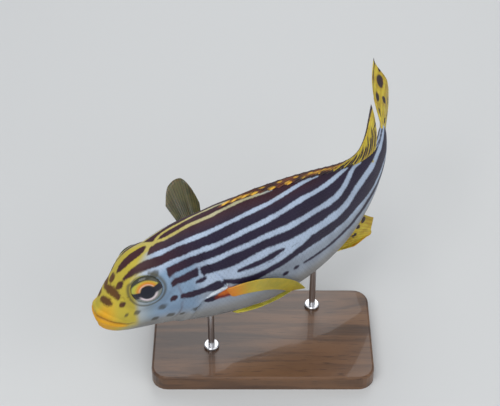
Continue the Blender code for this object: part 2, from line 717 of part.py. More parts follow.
def build_stand(surface):
    outline = []
    for quarter in range(4):
        middle_x = (BASE_LENGTH / 2 - BASE_CORNER) * (1 if quarter in (0, 3) else -1)
        middle_y = (BASE_DEPTH / 2 - BASE_CORNER) * (1 if quarter in (0, 1) else -1)
        for i in range(BASE_CORNER_STEPS + 1):
            angle = pi / 2 * (quarter + i / BASE_CORNER_STEPS)
            outline.append((middle_x, middle_y, cos(angle), sin(angle)))

    def level(inset, height):
        size = BASE_CORNER - inset
        return [(x + size * c, y + size * s, height) for x, y, c, s in outline]

    bevel = BASE_BEVEL
    rings = [level(0, 0), level(0, BASE_HEIGHT - bevel)]
    rings += [level(bevel * 0.3, BASE_HEIGHT - bevel * 0.3), level(bevel, BASE_HEIGHT)]
    ring_solid("stand_base", rings, (0, 0, 0), (0, 0, BASE_HEIGHT), WOOD_DARK)

    foot = BASE_HEIGHT + GAP
    for place, name in ((ROD_FRONT_PLACE, "stand_rod_front"), (ROD_REAR_PLACE, "stand_rod_rear")):
        centre = placed(place, 0, belly_height(place))
        circle = [(cos(2 * pi * i / ROD_SIDES), sin(2 * pi * i / ROD_SIDES)) for i in range(ROD_SIDES)]

        def disc(radius, height):
            return [(centre[0] + radius * c, centre[1] + radius * s, height) for c, s in circle]

        top = seat(disc(ROD_RADIUS, centre[2]), [Vector((0, 0, 1))] * ROD_SIDES, surface)
        cap = seat([centre], [Vector((0, 0, 1))], surface)[0]
        collar = foot + ROD_FOOT_HEIGHT
        rings = [disc(ROD_FOOT_RADIUS, foot), disc(ROD_FOOT_RADIUS, collar - ROD_FOOT_BEVEL)]
        rings += [disc(ROD_FOOT_RADIUS - ROD_FOOT_BEVEL, collar), disc(ROD_RADIUS, collar)]
        rings.append([tuple(point) for point in top])
        ring_solid(name, rings, (centre[0], centre[1], foot), tuple(cap), ROD_STEEL)


def build():
    clear_scene()
    head = build_head()
    build_lips()
    build_eyes()
    torso = build_torso()
    tail = build_tail()
    body = surface_of([torso, tail])
    build_dorsal(body)
    build_anal(body)
    build_caudal(surface_of([tail]))
    build_pectorals(surface_of([torso]))
    build_pelvics(surface_of([torso]))
    build_stand(surface_of([head, torso]))


build()
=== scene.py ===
import bmesh
import bpy
import numpy as np
from math import cos, pi, radians, sin
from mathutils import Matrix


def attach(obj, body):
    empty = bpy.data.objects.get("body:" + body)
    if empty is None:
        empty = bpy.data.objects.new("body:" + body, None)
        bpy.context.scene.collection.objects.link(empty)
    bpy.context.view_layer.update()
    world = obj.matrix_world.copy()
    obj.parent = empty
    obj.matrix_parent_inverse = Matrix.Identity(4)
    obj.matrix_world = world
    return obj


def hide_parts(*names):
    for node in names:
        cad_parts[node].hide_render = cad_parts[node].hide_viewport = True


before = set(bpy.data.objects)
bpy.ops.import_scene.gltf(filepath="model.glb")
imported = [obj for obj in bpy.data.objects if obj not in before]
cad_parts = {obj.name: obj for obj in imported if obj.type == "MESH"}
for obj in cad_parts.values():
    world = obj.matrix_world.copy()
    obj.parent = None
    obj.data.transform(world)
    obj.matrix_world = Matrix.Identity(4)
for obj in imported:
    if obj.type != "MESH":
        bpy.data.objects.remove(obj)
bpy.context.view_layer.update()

# Camera. It looks down on the fish's left flank from a little above, as the photograph does,
# with a long lens that holds the whole fish from the chin to the tail fin.
camera_data = bpy.data.cameras.new("camera")
camera_data.lens = 93.6
camera_data.sensor_width = 36.0
camera_data.dof.use_dof = False
camera = bpy.data.objects.new("camera", camera_data)
camera.location = (-0.0110, -0.7804, 0.8497)
camera.rotation_euler = (radians(48.7272), 0.0, 0.0)
bpy.context.collection.objects.link(camera)
bpy.context.scene.camera = camera


# Body. One skin runs over head, lips, trunk and the root of the tail, as on a cast and painted
# museum fish. It is laid out straight, in standard lengths from the snout (s = 0) to the root of
# the tail fin (s = 1), given its relief, and then bent and turned as the solids are.
STANDARD_LENGTH = 0.328
AXIS_HEIGHT = 0.112
HEADING = radians(20.15)
PITCH = radians(-2.26)
PIVOT = 0.45
BEND_AT = (0.0, 0.25, 0.40, 0.55, 0.70, 0.85, 1.0, 1.22)
BEND_DEGREES = (0.0, 0.0, 4.0, 16.0, 24.0, 43.0, 62.0, 76.0)
BEND_STEPS = 489
# Outline of the body: place, height of the back, height of the belly and half width
STATIONS = (
    (0.00, -0.034, -0.074, 0.0160), (0.02, -0.004, -0.101, 0.0310), (0.05, 0.040, -0.116, 0.0480),
    (0.10, 0.093, -0.124, 0.0603), (0.15, 0.128, -0.131, 0.0620), (0.20, 0.153, -0.139, 0.0661),
    (0.25, 0.167, -0.152, 0.0710), (0.30, 0.176, -0.160, 0.0735), (0.35, 0.186, -0.166, 0.0743),
    (0.40, 0.190, -0.169, 0.0735), (0.50, 0.181, -0.168, 0.0677), (0.60, 0.158, -0.158, 0.0578),
    (0.70, 0.124, -0.134, 0.0446), (0.80, 0.088, -0.091, 0.0314), (0.90, 0.060, -0.055, 0.0207),
    (0.95, 0.055, -0.050, 0.0173), (1.00, 0.057, -0.054, 0.0132),
)
SECTION_FULLNESS = 2.1
GILL_TURN = (0.0, 0.15, 0.30, 0.42, 0.50, 0.54, 0.58, 0.63, 0.72, 0.85, 1.0)
GILL_PLACE = (0.262, 0.262, 0.270, 0.295, 0.320, 0.326, 0.270, 0.252, 0.238, 0.216, 0.197)
EYE_PLACE, EYE_HEIGHT = 0.128, 0.0445
EYE_RADIUS, EYE_DEPTH, EYE_STAND_OUT, EYE_TILT = 0.0130, 0.0056, 0.0030, 0.12
EYE_STEP = 0.03
ORBIT_RISE, ORBIT_RADIUS = 0.0038, 0.0158
SNOUT_FRONT = 0.0085
SNOUT_TIP = 0.0065
SNOUT_TIP_HEIGHT = -0.050
MM = 0.001
BODY_MM = STANDARD_LENGTH / MM


def through(knots, values, at):
    """Smooth curve through the knots, with no overshoot between them."""
    x = np.asarray(knots, float)
    y = np.asarray(values, float)
    at = np.clip(np.asarray(at, float), x[0], x[-1])
    step = np.diff(x)
    rise = np.diff(y) / step
    slope = np.zeros_like(y)
    slope[0] = rise[0]
    slope[-1] = rise[-1]
    for i in range(1, len(x) - 1):
        if rise[i - 1] * rise[i] > 0:
            before = 2 * step[i] + step[i - 1]
            after = step[i] + 2 * step[i - 1]
            slope[i] = (before + after) / (before / rise[i - 1] + after / rise[i])
    i = np.clip(np.searchsorted(x, at, side="right") - 1, 0, len(x) - 2)
    t = (at - x[i]) / step[i]
    left = y[i] * (1 + 2 * t) * (1 - t) ** 2 + step[i] * slope[i] * t * (1 - t) ** 2
    right = y[i + 1] * t * t * (3 - 2 * t) + step[i] * slope[i + 1] * t * t * (t - 1)
    return left + right


def ease(start, end, at):
    """0 before start, 1 after end, smooth between. Where end is below start, it falls."""
    t = np.clip((np.asarray(at, float) - start) / (end - start), 0, 1)
    return t * t * (3 - 2 * t)


def held(at, start, full, fade, end):
    """0 outside start to end, 1 from full to fade, smooth between."""
    return ease(start, full, at) * (1 - ease(fade, end, at))


def ridge(at, middle, width):
    """1 at the middle, falling away smoothly on both sides."""
    return np.exp(-((at - middle) / width) ** 2)


def between(first, last, share):
    return first + (last - first) * share


def unit(vector):
    return vector / np.linalg.norm(vector, axis=-1, keepdims=True)


STATION_AT, STATION_BACK, STATION_BELLY, STATION_WIDTH = zip(*STATIONS)


def back_height(s):
    return through(STATION_AT, STATION_BACK, s)


def belly_height(s):
    return through(STATION_AT, STATION_BELLY, s)


def half_width(s):
    return through(STATION_AT, STATION_WIDTH, s)


def skin(s, turn, lift=0.0):
    """Straight-body point at place s, turned from the back (0) to the belly (1 on the right
    side, -1 on the left), with the swelling round the eye, and lifted off the skin."""
    s = np.asarray(s, float)
    angle = np.asarray(turn, float) * pi
    back, belly, wide = back_height(s), belly_height(s), half_width(s)
    middle, tall = (back + belly) / 2, (back - belly) / 2
    y = wide * np.sign(np.sin(angle)) * np.abs(np.sin(angle)) ** (2 / SECTION_FULLNESS)
    z = middle + tall * np.cos(angle)
    ny, nz = y / wide ** 2, (z - middle) / tall ** 2
    size = np.hypot(ny, nz)
    across = np.hypot(s - EYE_PLACE, z - EYE_HEIGHT) * STANDARD_LENGTH / ORBIT_RADIUS
    lift = lift + ORBIT_RISE / STANDARD_LENGTH * (1 - ease(0.75, 1.6, across))
    return s, y + lift * ny / size, z + lift * nz / size


def side_point(s, z, side, lift=0.0):
    """Point on the flank at place s and height z; side is -1 on the left and 1 on the right."""
    back, belly = back_height(s), belly_height(s)
    turn = np.arccos(np.clip((z - (back + belly) / 2) / ((back - belly) / 2), -1, 1)) / pi
    return skin(s, side * turn, lift)


def placed(s, y, z):
    """World points of straight-body points: bent, pitched, turned and lifted onto the stand."""
    s, y, z = np.broadcast_arrays(*[np.asarray(value, float) for value in (s, y, z)])
    grid = np.linspace(0, BEND_AT[-1], BEND_STEPS)
    bend = np.radians(through(BEND_AT, BEND_DEGREES, grid))
    run, drift = (np.concatenate([[0], np.cumsum((part[1:] + part[:-1]) / 2) * grid[1]])
                  for part in (np.cos(bend), np.sin(bend)))
    here = np.radians(through(BEND_AT, BEND_DEGREES, s))
    along = np.interp(s, grid, run) - np.sin(here) * y - PIVOT + np.minimum(s, 0)
    across = np.interp(s, grid, drift) + np.cos(here) * y
    ahead = cos(PITCH) * along + sin(PITCH) * z
    up = cos(PITCH) * z - sin(PITCH) * along
    world_x = cos(HEADING) * ahead - sin(HEADING) * across
    world_y = sin(HEADING) * ahead + cos(HEADING) * across
    return np.stack([world_x, world_y, up], -1) * STANDARD_LENGTH + np.array([0, 0, AXIS_HEIGHT])


def eye_frame(side):
    """Centre of an eye and its outward, forward and upward directions."""
    def beside(s, z):
        return placed(*side_point(EYE_PLACE + s, EYE_HEIGHT + z, side))

    along = beside(EYE_STEP, 0) - beside(-EYE_STEP, 0)
    above = beside(0, EYE_STEP) - beside(0, -EYE_STEP)
    outward = unit(np.cross(along, above)) * -side
    outward = unit(np.array([outward[0], outward[1], EYE_TILT]))
    forward = unit(-along + outward * np.dot(along, outward))
    upward = np.cross(forward, outward) * -side
    centre = beside(0, 0) + outward * (EYE_STAND_OUT - EYE_DEPTH)
    return centre, outward, forward, upward


def half_girth(s):
    """Way over the skin from the back to the belly, in millimetres."""
    tall = (back_height(s) - belly_height(s)) / 2
    return pi * np.sqrt((tall ** 2 + half_width(s) ** 2) / 2) * BODY_MM


# The rows of the skin follow the edge of the gill cover, so that the cover ends in a crisp lip
COLUMNS = 288
turn = np.linspace(-1, 1, COLUMNS, endpoint=False)
gill_edge = through(GILL_TURN, GILL_PLACE, np.abs(turn))
gill_free = held(np.abs(turn), 0.14, 0.34, 0.86, 0.97)
gill_free = gill_free * (0.35 + 0.65 * ease(0.42, 0.54, np.abs(turn)))
# Step at the edge of the gill cover: way behind the edge and lift, in millimetres
GILL_STEP = ((-3.0, 0.6), (-1.4, 1.0), (-0.4, 1.05), (0.0, 0.75), (0.1, 0.2), (-0.7, -0.5),
             (0.4, -1.2), (1.4, -1.1), (2.8, -0.7), (4.4, -0.2), (6.0, 0.0))
GILL_SLIT = 2e-4
GILL_BEFORE, GILL_BEHIND = 4.5, 7.5
TRUNK_ROWS = 150
skin_rows = []
for share in (0.12, 0.30, 0.46, 0.60, 0.72, 0.83, 0.92):
    place = SNOUT_FRONT - (SNOUT_FRONT - SNOUT_TIP) * (1 - share ** 2)
    skin_rows.append((np.full(COLUMNS, place), 0 * turn, share))
head_end = gill_edge - GILL_BEFORE / BODY_MM
for share in np.concatenate([np.linspace(0, 0.30, 46, endpoint=False), np.linspace(0.30, 1, 66)]):
    skin_rows.append((between(SNOUT_FRONT, head_end, share), 0 * turn, 1.0))
for offset, lift in GILL_STEP:
    place = gill_edge + offset * gill_free / BODY_MM + (offset > 0.2) * GILL_SLIT
    skin_rows.append((place, lift * gill_free, 1.0))
trunk_start = gill_edge + GILL_BEHIND / BODY_MM
for share in np.linspace(0, 1, TRUNK_ROWS):
    skin_rows.append((between(trunk_start, 1.0, share), 0 * turn, 1.0))
S = np.array([row[0] for row in skin_rows])
T = np.broadcast_to(turn, S.shape)
V = np.abs(T)
side_of = np.where(T < 0, -1.0, 1.0)
cap = np.array([row[2] for row in skin_rows])[:, None]
section_s = np.where(cap < 1, SNOUT_FRONT, S)
_, Y, Z = skin(section_s, T)
Y = Y * cap
Z = SNOUT_TIP_HEIGHT + (Z - SNOUT_TIP_HEIGHT) * cap
surface = placed(S, Y, Z)
NUDGE = 0.002
lengthwise = placed(*skin(section_s + NUDGE, T)) - placed(*skin(section_s - NUDGE, T))
round_about = placed(*skin(section_s, T + NUDGE)) - placed(*skin(section_s, T - NUDGE))
outward = unit(np.cross(lengthwise, round_about))
ahead = unit(placed(0.0, 0, SNOUT_TIP_HEIGHT) - placed(0.1, 0, SNOUT_TIP_HEIGHT))
# Over the closed tip of the snout the relief is lifted straight ahead
cap_fill = cap[..., None] ** 2
outward = unit(outward * cap_fill + ahead * (1 - cap_fill) * 1.5)
lift = np.array([row[1] for row in skin_rows])

# Lips, with a closed mouth between them, a crease above and below, and fine folds across
MOUTH_FRONT_HEIGHT, MOUTH_CORNER_HEIGHT, MOUTH_CORNER = -0.035, -0.065, 0.074
UPPER_LIP_HEIGHT, LOWER_LIP_HEIGHT = 6.8, 8.6
UPPER_LIP_FULL, LOWER_LIP_FULL = 1.3, 1.9
MOUTH_DEPTH, LIP_CREASE = 1.5, 0.25
LIP_FOLD, LIP_FOLDS = 0.10, 46.0
mouth_line = through((0.0, MOUTH_CORNER), (MOUTH_FRONT_HEIGHT, MOUTH_CORNER_HEIGHT), S)
over_mouth = (Z - mouth_line) * BODY_MM
lip_run = np.clip((MOUTH_CORNER - S) / (MOUTH_CORNER - 0.015), 0, 1)
lip_thin = 0.45 + 0.55 * np.sqrt(lip_run)
lip_height = np.where(over_mouth > 0, UPPER_LIP_HEIGHT, LOWER_LIP_HEIGHT) * lip_thin
lip_share = np.clip(np.abs(over_mouth) / lip_height, 0, 1)
lip_ends = ease(0.086, 0.066, S)
lip_full = np.where(over_mouth > 0, UPPER_LIP_FULL, LOWER_LIP_FULL) * (1 - 0.5 * ease(0.03, 0.07, S))
lip_round = np.sin(pi * np.clip(0.12 + 0.88 * lip_share, 0, 1)) ** 0.75
lip_fold = LIP_FOLD * np.sin(np.arctan2(Y, MOUTH_CORNER - S) * LIP_FOLDS) * lip_round
lift = lift + lip_ends * lip_round * (lip_full + lip_fold)
lift = lift - MOUTH_DEPTH * ease(0.098, 0.074, S) * ridge(over_mouth, 0, 0.75)
lift = lift - LIP_CREASE * lip_ends * ridge(np.abs(over_mouth), lip_height, 1.5)

# Sockets for the eyes with a raised rim, nostrils, chin pores and the fold of the cheek. Depths
# and heights are in millimetres. A nostril has a place, a height and a radius, a pore a place and
# a turn.
SOCKET_DEPTH, SOCKET_RIM, SOCKET_GROOVE = 5.5, 0.40, 0.35
SOCKET_REACH = 30 * MM
NOSTRILS = ((0.070, 0.022, 1.3), (0.083, 0.027, 1.0))
NOSTRIL_DEPTH, NOSTRIL_RIM = 1.3, 0.35
CHIN_PORES = ((0.034, 0.90), (0.046, 0.84), (0.062, 0.81))
PORE_DEPTH = 0.7
CHEEK_STEP, CHEEK_GROOVE = 0.45, 0.35
CHEEK_TURN = (0.28, 0.40, 0.52, 0.62, 0.70, 0.78, 0.84)
CHEEK_PLACE = (0.183, 0.196, 0.207, 0.206, 0.194, 0.160, 0.115)
orbit = np.zeros(S.shape)
for side in (-1, 1):
    centre, look = eye_frame(side)[:2]
    arm = surface - centre
    off_axis = np.linalg.norm(arm - (arm @ look)[..., None] * look, axis=-1) / EYE_RADIUS
    near = (np.abs(arm @ look) < SOCKET_REACH) & (side_of == side)
    lift = lift - np.where(near, SOCKET_DEPTH * (1 - ease(0.84, 0.99, off_axis)), 0)
    lift = lift + np.where(near, SOCKET_RIM * ridge(off_axis, 1.10, 0.075), 0)
    lift = lift - np.where(near, SOCKET_GROOVE * ridge(off_axis, 1.30, 0.07), 0)
    orbit = orbit + np.where(near, ridge(off_axis, 1.13, 0.12), 0)
    for place, height, radius in NOSTRILS:
        away = np.linalg.norm(surface - placed(*side_point(place, height, side)), axis=-1) / MM
        lift = lift - NOSTRIL_DEPTH * ridge(away, 0, radius)
        lift = lift + NOSTRIL_RIM * ridge(away, 1.9 * radius, 0.55)
    for place, around in CHIN_PORES:
        away = np.linalg.norm(surface - placed(*skin(place, side * around)), axis=-1) / MM
        lift = lift - PORE_DEPTH * ridge(away, 0, 0.9)
cheek_gap = (S - through(CHEEK_TURN, CHEEK_PLACE, V)) * BODY_MM
cheek_on = held(V, 0.30, 0.40, 0.74, 0.84)
cheek_slope = np.where(cheek_gap < 0, 5.0, 1.2)
lift = lift + cheek_on * CHEEK_STEP * ridge(cheek_gap, 0, cheek_slope)
lift = lift - cheek_on * CHEEK_GROOVE * ridge(cheek_gap, 2.0, 1.2)

# Low scaly sheaths along the roots of the fins on the back and belly, and the lateral line
SHEATH_LIFT = 0.9
sheath_gap = V * half_girth(S)
sheath = held(S, 0.32, 0.36, 0.90, 0.94)
lift = lift + SHEATH_LIFT * sheath * ridge(sheath_gap, 0, 3.2)
anal_gap = (1 - V) * half_girth(S)
lift = lift + SHEATH_LIFT * held(S, 0.64, 0.67, 0.80, 0.84) * ridge(anal_gap, 0, 3.0)
LATERAL_RIDGE, LATERAL_PORES = 0.25, 0.30
LATERAL_AT = (0.265, 0.32, 0.40, 0.50, 0.60, 0.70, 0.80, 0.88, 0.95, 1.0)
LATERAL_TURN = (0.285, 0.272, 0.262, 0.262, 0.275, 0.300, 0.350, 0.420, 0.470, 0.490)
lateral_gap = (V - through(LATERAL_AT, LATERAL_TURN, S)) * half_girth(S)
lateral_line = LATERAL_RIDGE * ridge(lateral_gap, 0, 1.5) - LATERAL_PORES * ridge(lateral_gap, 0, 0.5)
lift = lift + ease(0.268, 0.285, S) * lateral_line
surface = surface + outward * lift[..., None] * MM

# Markings, as distances in millimetres from the edges of stripes and spots laid on the flank.
# Each stripe is a few points, in thousandths of the length and of the turn, and half widths that
# are spread over it from its first point to its last.
STRIPE_REACH = 12.0
differing = ease(0.10, 0.25, T)
marking_s = S + differing * 0.004 * np.sin(9 * V + 26 * S)
marking_v = V + differing * 0.006 * np.sin(31 * S + 0.8)
GIRTH = half_girth(marking_s)
flank = np.stack([marking_s * BODY_MM, marking_v * GIRTH], -1)
crown = np.stack([S * BODY_MM, T * half_girth(S)], -1)


def stripe(points, widths, flat=flank):
    """How far each point of the skin lies inside a stripe through the given points. On the
    flanks the turn counts from the back on either side; on the crown it is below 0 on the left."""
    path = np.array(points) / 1000
    at = np.linspace(0, len(path) - 1, 12 * len(path))
    s, v = (through(np.arange(len(path)), values, at) for values in path.T)
    half = np.interp(at, np.linspace(0, len(path) - 1, len(widths)), widths)
    track = np.stack([s * BODY_MM, v * half_girth(s)], -1)
    inside = np.full(S.shape, -STRIPE_REACH)
    reach = STRIPE_REACH + max(widths)
    near = np.all((flat > track.min(0) - reach) & (flat < track.max(0) + reach), axis=-1)
    here = flat[near]
    best = np.full(len(here), -STRIPE_REACH)
    for i in range(len(track) - 1):
        run = track[i + 1] - track[i]
        t = np.clip(((here - track[i]) @ run) / max(run @ run, 1e-9), 0, 1)
        gap = np.linalg.norm(here - track[i] - t[:, None] * run, axis=-1)
        best = np.maximum(best, half[i] + (half[i + 1] - half[i]) * t - gap)
    inside[near] = best
    return inside


LIGHT_STRIPES = (
    (((62, 115), (75, 105), (89, 104), (99, 103), (109, 104), (119, 108), (131, 118), (143, 131),
      (152, 145), (165, 158), (194, 172), (242, 172), (288, 170), (316, 169), (344, 165), (372, 158),
      (401, 148), (430, 138), (460, 123), (492, 101), (529, 70), (568, 36), (600, 12), (620, 0)),
     (2.4, 2.2, 2.0, 2.1, 2.2)),
    (((79, 186), (92, 197), (105, 209), (118, 224), (133, 236), (150, 252), (163, 271), (180, 280),
      (213, 278), (246, 272), (281, 270), (308, 269), (335, 266), (363, 259), (391, 251), (420, 243),
      (449, 231), (479, 217), (511, 200), (545, 184), (580, 171), (612, 157), (647, 126), (684, 74),
      (715, 25), (728, 0)), (1.6, 1.9, 2.1, 2.3, 2.4)),
    (((184, 384), (196, 378), (220, 367), (249, 352), (270, 350), (302, 352), (330, 346), (357, 342),
      (385, 338), (413, 331), (441, 325), (470, 322), (499, 320), (531, 313), (564, 302), (593, 294),
      (625, 287), (657, 270), (688, 226), (712, 164), (735, 95), (762, 30), (785, 0)),
     (1.8, 2.1, 2.2, 2.5, 2.6)),
    (((278, 436), (300, 440), (324, 441), (357, 436), (380, 426), (408, 417), (437, 411), (464, 413),
      (494, 419), (524, 419), (559, 412), (590, 410), (619, 406), (653, 396), (679, 378), (704, 346),
      (730, 308), (756, 276), (785, 246), (818, 218), (845, 186), (875, 140), (910, 108), (950, 90),
      (1000, 80)), (2.2, 2.5, 3.0, 2.8, 2.3)),
    (((310, 460), (324, 467), (345, 485), (364, 497), (392, 503), (420, 498), (448, 486), (477, 474),
      (500, 460), (520, 448), (545, 430)), (2.2, 2.0, 2.0, 2.2)),
    (((300, 450), (330, 460), (360, 462), (400, 460), (440, 452), (490, 440)),
     (3.0, 4.6, 4.8, 3.8, 2.0)),
    (((262, 352), (262, 380), (262, 405), (264, 428)), (1.0, 1.2, 1.9)),
)
DARK_STRIPES = (
    (((60, 0), (60.5, 22)), (2.5, 2.5)),
    (((67.5, 162), (72.5, 176)), (2.4, 2.4)),
    (((43, 0), (47, 83), (54, 183), (62, 277)), (1.8, 2.3, 2.5, 1.7)),
    (((26, 60), (31, 150), (38, 235), (45, 300)), (1.3, 1.9, 2.0, 1.0)),
    (((62.5, 362), (69.5, 384)), (1.5, 1.5)),
    (((190.5, 526), (195.5, 526)), (2.6, 2.6)),
    (((214.5, 528), (241, 525), (266, 519), (284, 512), (298, 511), (308, 513)),
     (2.5, 2.5, 2.4, 3.6, 4.3, 3.2)),
    (((323, 504), (335, 512), (350, 525), (378, 537), (405, 543)), (1.6, 2.2, 2.2)),
    (((357, 462), (379, 461), (407, 459), (435, 450), (462, 439), (473, 436)), (1.5, 2.4, 2.4, 1.4)),
    (((476, 600), (481, 600)), (1.9, 1.9)),
    (((507, 594), (512, 593)), (1.6, 1.6)),
    (((532, 590), (600, 592), (677, 586), (740, 566), (790, 556), (850, 552), (920, 548), (1000, 540)),
     (1.0, 1.6, 1.9, 2.1, 2.0)),
    (((253, 451), (264, 448), (273, 444)), (1.4, 2.0, 1.8)),
    (((272, 602), (286, 600), (300, 592)), (1.4, 2.6, 2.2)),
)
FAINT_SPOTS = (
    (((146, 276), (152, 283), (159, 290)), (1.6, 2.4, 1.8)),
    (((95, 517), (102, 532)), (1.6, 1.6)),
    (((70.5, 502), (74.5, 507)), (1.0, 1.0)),
    (((158, 567), (167, 577)), (2.0, 2.0)),
    (((138, 678), (147, 682)), (1.7, 1.7)),
    (((177, 679), (187, 682)), (1.8, 1.8)),
    (((209, 695), (214, 692)), (1.3, 1.3)),
    (((243, 651), (251, 641)), (1.8, 1.8)),
)
CROWN_LIGHT = (
    (((146, 100), (161, 102), (178, 94), (196, 94), (214, 112), (232, 120)), (1.6, 2.2, 2.2, 1.2, 0.6)),
    (((172, -48), (181, -52), (191, -66), (203, -72), (214, -70), (226, -66), (249, -55), (273, -46),
      (295, -45), (314, -46), (329, -43), (356, -38), (386, -28), (415, -20), (444, -15), (480, -8)),
     (1.2, 1.9, 2.1, 1.9, 1.4)),
    (((168, -50), (170, -44), (177, -25), (184, -7), (192, 3), (209, 11), (233, 19), (257, 28),
      (281, 42), (304, 48), (324, 46), (356, 38), (386, 28), (415, 20), (444, 15), (480, 8)),
     (1.5, 1.5, 1.6, 1.9, 1.4)),
)
CROWN_DARK = (
    (((77, -18), (86, -19), (96, -19), (111, -16), (129, -14), (140, -18)),
     (1.6, 3.4, 4.2, 4.9, 5.1, 4.0)),
)


def all_stripes(stripes, flat=flank):
    return np.max([stripe(points, widths, flat) for points, widths in stripes], axis=0)


light = np.maximum(all_stripes(LIGHT_STRIPES), all_stripes(CROWN_LIGHT, crown))
spots = np.maximum(all_stripes(DARK_STRIPES), all_stripes(CROWN_DARK, crown))
NAPE_TURN = (-0.20, -0.11, -0.065, -0.05, -0.03, 0.0, 0.03, 0.067, 0.12, 0.20)
NAPE_PLACE = (0.140, 0.150, 0.158, 0.166, 0.170, 0.163, 0.157, 0.151, 0.148, 0.142)
nape = (S - through(NAPE_TURN, NAPE_PLACE, T)) * BODY_MM
second_s, second_turn = np.array(LIGHT_STRIPES[0][0][2:]).T / 1000
second_at = through(second_s, second_turn, marking_s)
nape = np.minimum(nape, (second_at - marking_v) * GIRTH)
BROW_TURN = (0.06, 0.125, 0.145, 0.170, 0.200, 0.235, 0.255, 0.275, 0.340, 0.380, 0.430)
BROW_PLACE = (0.090, 0.084, 0.080, 0.082, 0.094, 0.130, 0.163, 0.183, 0.184, 0.188, 0.190)
brow_edge = through(BROW_TURN, BROW_PLACE, marking_v)
brow = np.minimum((marking_v - second_at) * GIRTH, (marking_s - brow_edge) * BODY_MM)
LOWER_AT = (0.16, 0.22, 0.26, 0.275, 0.30, 0.32, 0.35, 0.377, 0.405, 0.434, 0.462, 0.491, 0.522, 0.557,
            0.60, 0.667, 0.733, 0.80, 0.84, 0.90, 0.95, 1.0)
LOWER_TURN = (0.437, 0.434, 0.416, 0.430, 0.470, 0.514, 0.534, 0.548, 0.553, 0.547, 0.535, 0.520, 0.508,
              0.504, 0.501, 0.497, 0.476, 0.466, 0.460, 0.442, 0.428, 0.418)
lower = (through(LOWER_AT, LOWER_TURN, marking_s) - marking_v) * GIRTH
field = np.minimum(np.maximum(nape, brow), lower)
dark = np.maximum(np.minimum(field, -light), spots)

# Warm yellow on the snout and crown, rust in the front dark stripes
yellow = 1 - ease(0.105, 0.165, S - 0.035 * ease(0.16, 0.02, V))
yellow = yellow * (1 - ease(0.60, 0.80, V) * ease(0.03, 0.09, S))
yellow = yellow * (1 - 0.80 * ease(0.090, 0.108, S) * ease(0.18, 0.23, V))
warm_nape = (1 - ease(0.075, 0.115, V)) * (1 - 0.3 * ease(0.20, 0.34, S)) * (1 - ease(0.42, 0.52, S))
yellow = np.maximum(yellow, 0.9 * warm_nape)
brow_line = ease(-1.0, 0.8, stripe(LIGHT_STRIPES[1][0][:5], (1.6, 1.9)))
yellow = np.maximum(yellow, 0.9 * brow_line * (1 - ease(0.100, 0.138, S)))
# Painted shade of the upper lid: a dark olive line over the top of the eye, added to the dark olive ring
# round the socket.
lid_shade_line = stripe(((90, 236), (101, 232), (122, 251), (138, 272)), (0.6, 1.1, 1.1, 0.6))
orbit = np.maximum(orbit * (1 - brow_line), ease(-0.9, 0.7, lid_shade_line))
far_brow = (side_of == 1) * ease(0.26, 0.18, V) * ease(0.085, 0.100, S) * ease(0.180, 0.155, S)
yellow = np.maximum(yellow, 0.9 * far_brow)
orbit = orbit * (1 - 0.75 * far_brow)
cheek = held(S, 0.095, 0.135, 0.235, 0.275) * held(V, 0.26, 0.33, 0.60, 0.72)
umber = 1 - ease(0.055, 0.082, S)
tail_spot = stripe(((836, 150), (836.5, 155)), (1.6, 1.6))
yellow = np.maximum(yellow, ease(-1.0, 0.6, tail_spot))
orange = (1 - ease(0.018, 0.062, S)) * held(V, 0.10, 0.40, 0.75, 0.95)
lip_orange = np.where(over_mouth > 0, 0.2 * (1 - lip_share ** 2), 0.95 * (1 - ease(0.6, 1.0, lip_share)))
orange = np.maximum(orange, lip_orange * lip_ends * (1 - ease(0.055, 0.085, S)))
rust = np.maximum(1 - ease(0.10, 0.30, S), 0.75 * (1 - ease(0.05, 0.20, V)) * (1 - ease(0.45, 0.8, S)))
# The underside is painted grey: painted shade on the belly, from about half way down the flank.
belly_shade = ease(0.54, 0.72, V)
gill_blood = stripe(((302, 590), (318, 584), (334, 584)), (2.4, 3.4, 3.4))
fin_root = stripe(((306, 574), (320, 568), (338, 572)), (1.2, 2.6, 3.0))
# Painted highlight: a white glint along the free edge of the gill cover, above the breast fin.
glint_edge = ((269, 584), (276, 570), (286, 558), (302, 547), (319, 538), (326, 535))
gill_glint = stripe(glint_edge, (0.4, 0.9, 0.8, 1.0))


# The skin is one closed mesh of its rows, and the masks for its paint are float attributes on
# its points.
def grid_faces(rows, count, closed):
    """Quads over a grid of points stored row by row; closed joins the last column to the first."""
    last = count if closed else count - 1
    faces = []
    for i in range(rows - 1):
        for j in range(last):
            a, b = i * count + j, i * count + (j + 1) % count
            faces.append((a, b, b + count, a + count))
    return faces


def closed_faces(rows, count):
    """Faces of a closed tube of rings, with a fan from a point of its own at each end."""
    faces = grid_faces(rows, count, True)
    first, last = rows * count, (rows - 1) * count
    for j in range(count):
        faces.append((first, (j + 1) % count, j))
        faces.append((first + 1, last + j, last + (j + 1) % count))
    return faces


def corner_points(mesh):
    """Number of the point at each corner of the mesh's faces."""
    numbers = np.empty(len(mesh.loops), np.int32)
    mesh.loops.foreach_get("vertex_index", numbers)
    return numbers


def lay_fields(mesh, fields):
    """A float attribute on the mesh's points for each field."""
    for key, values in fields.items():
        layer = mesh.attributes.new(key, "FLOAT", "POINT")
        layer.data.foreach_set("value", np.asarray(values, np.float32).ravel())


def add_piece(name, points, faces, finish, fields):
    """Smooth mesh of points and faces, turned outwards, with its fields."""
    mesh = bpy.data.meshes.new(name)
    mesh.from_pydata(np.asarray(points).reshape(-1, 3).tolist(), [], faces)
    shell = bmesh.new()
    shell.from_mesh(mesh)
    bmesh.ops.recalc_face_normals(shell, faces=shell.faces)
    shell.to_mesh(mesh)
    shell.free()
    lay_fields(mesh, fields)
    mesh.shade_smooth()
    mesh.materials.append(finish)
    piece = bpy.data.objects.new(name, mesh)
    bpy.context.collection.objects.link(piece)
    return piece


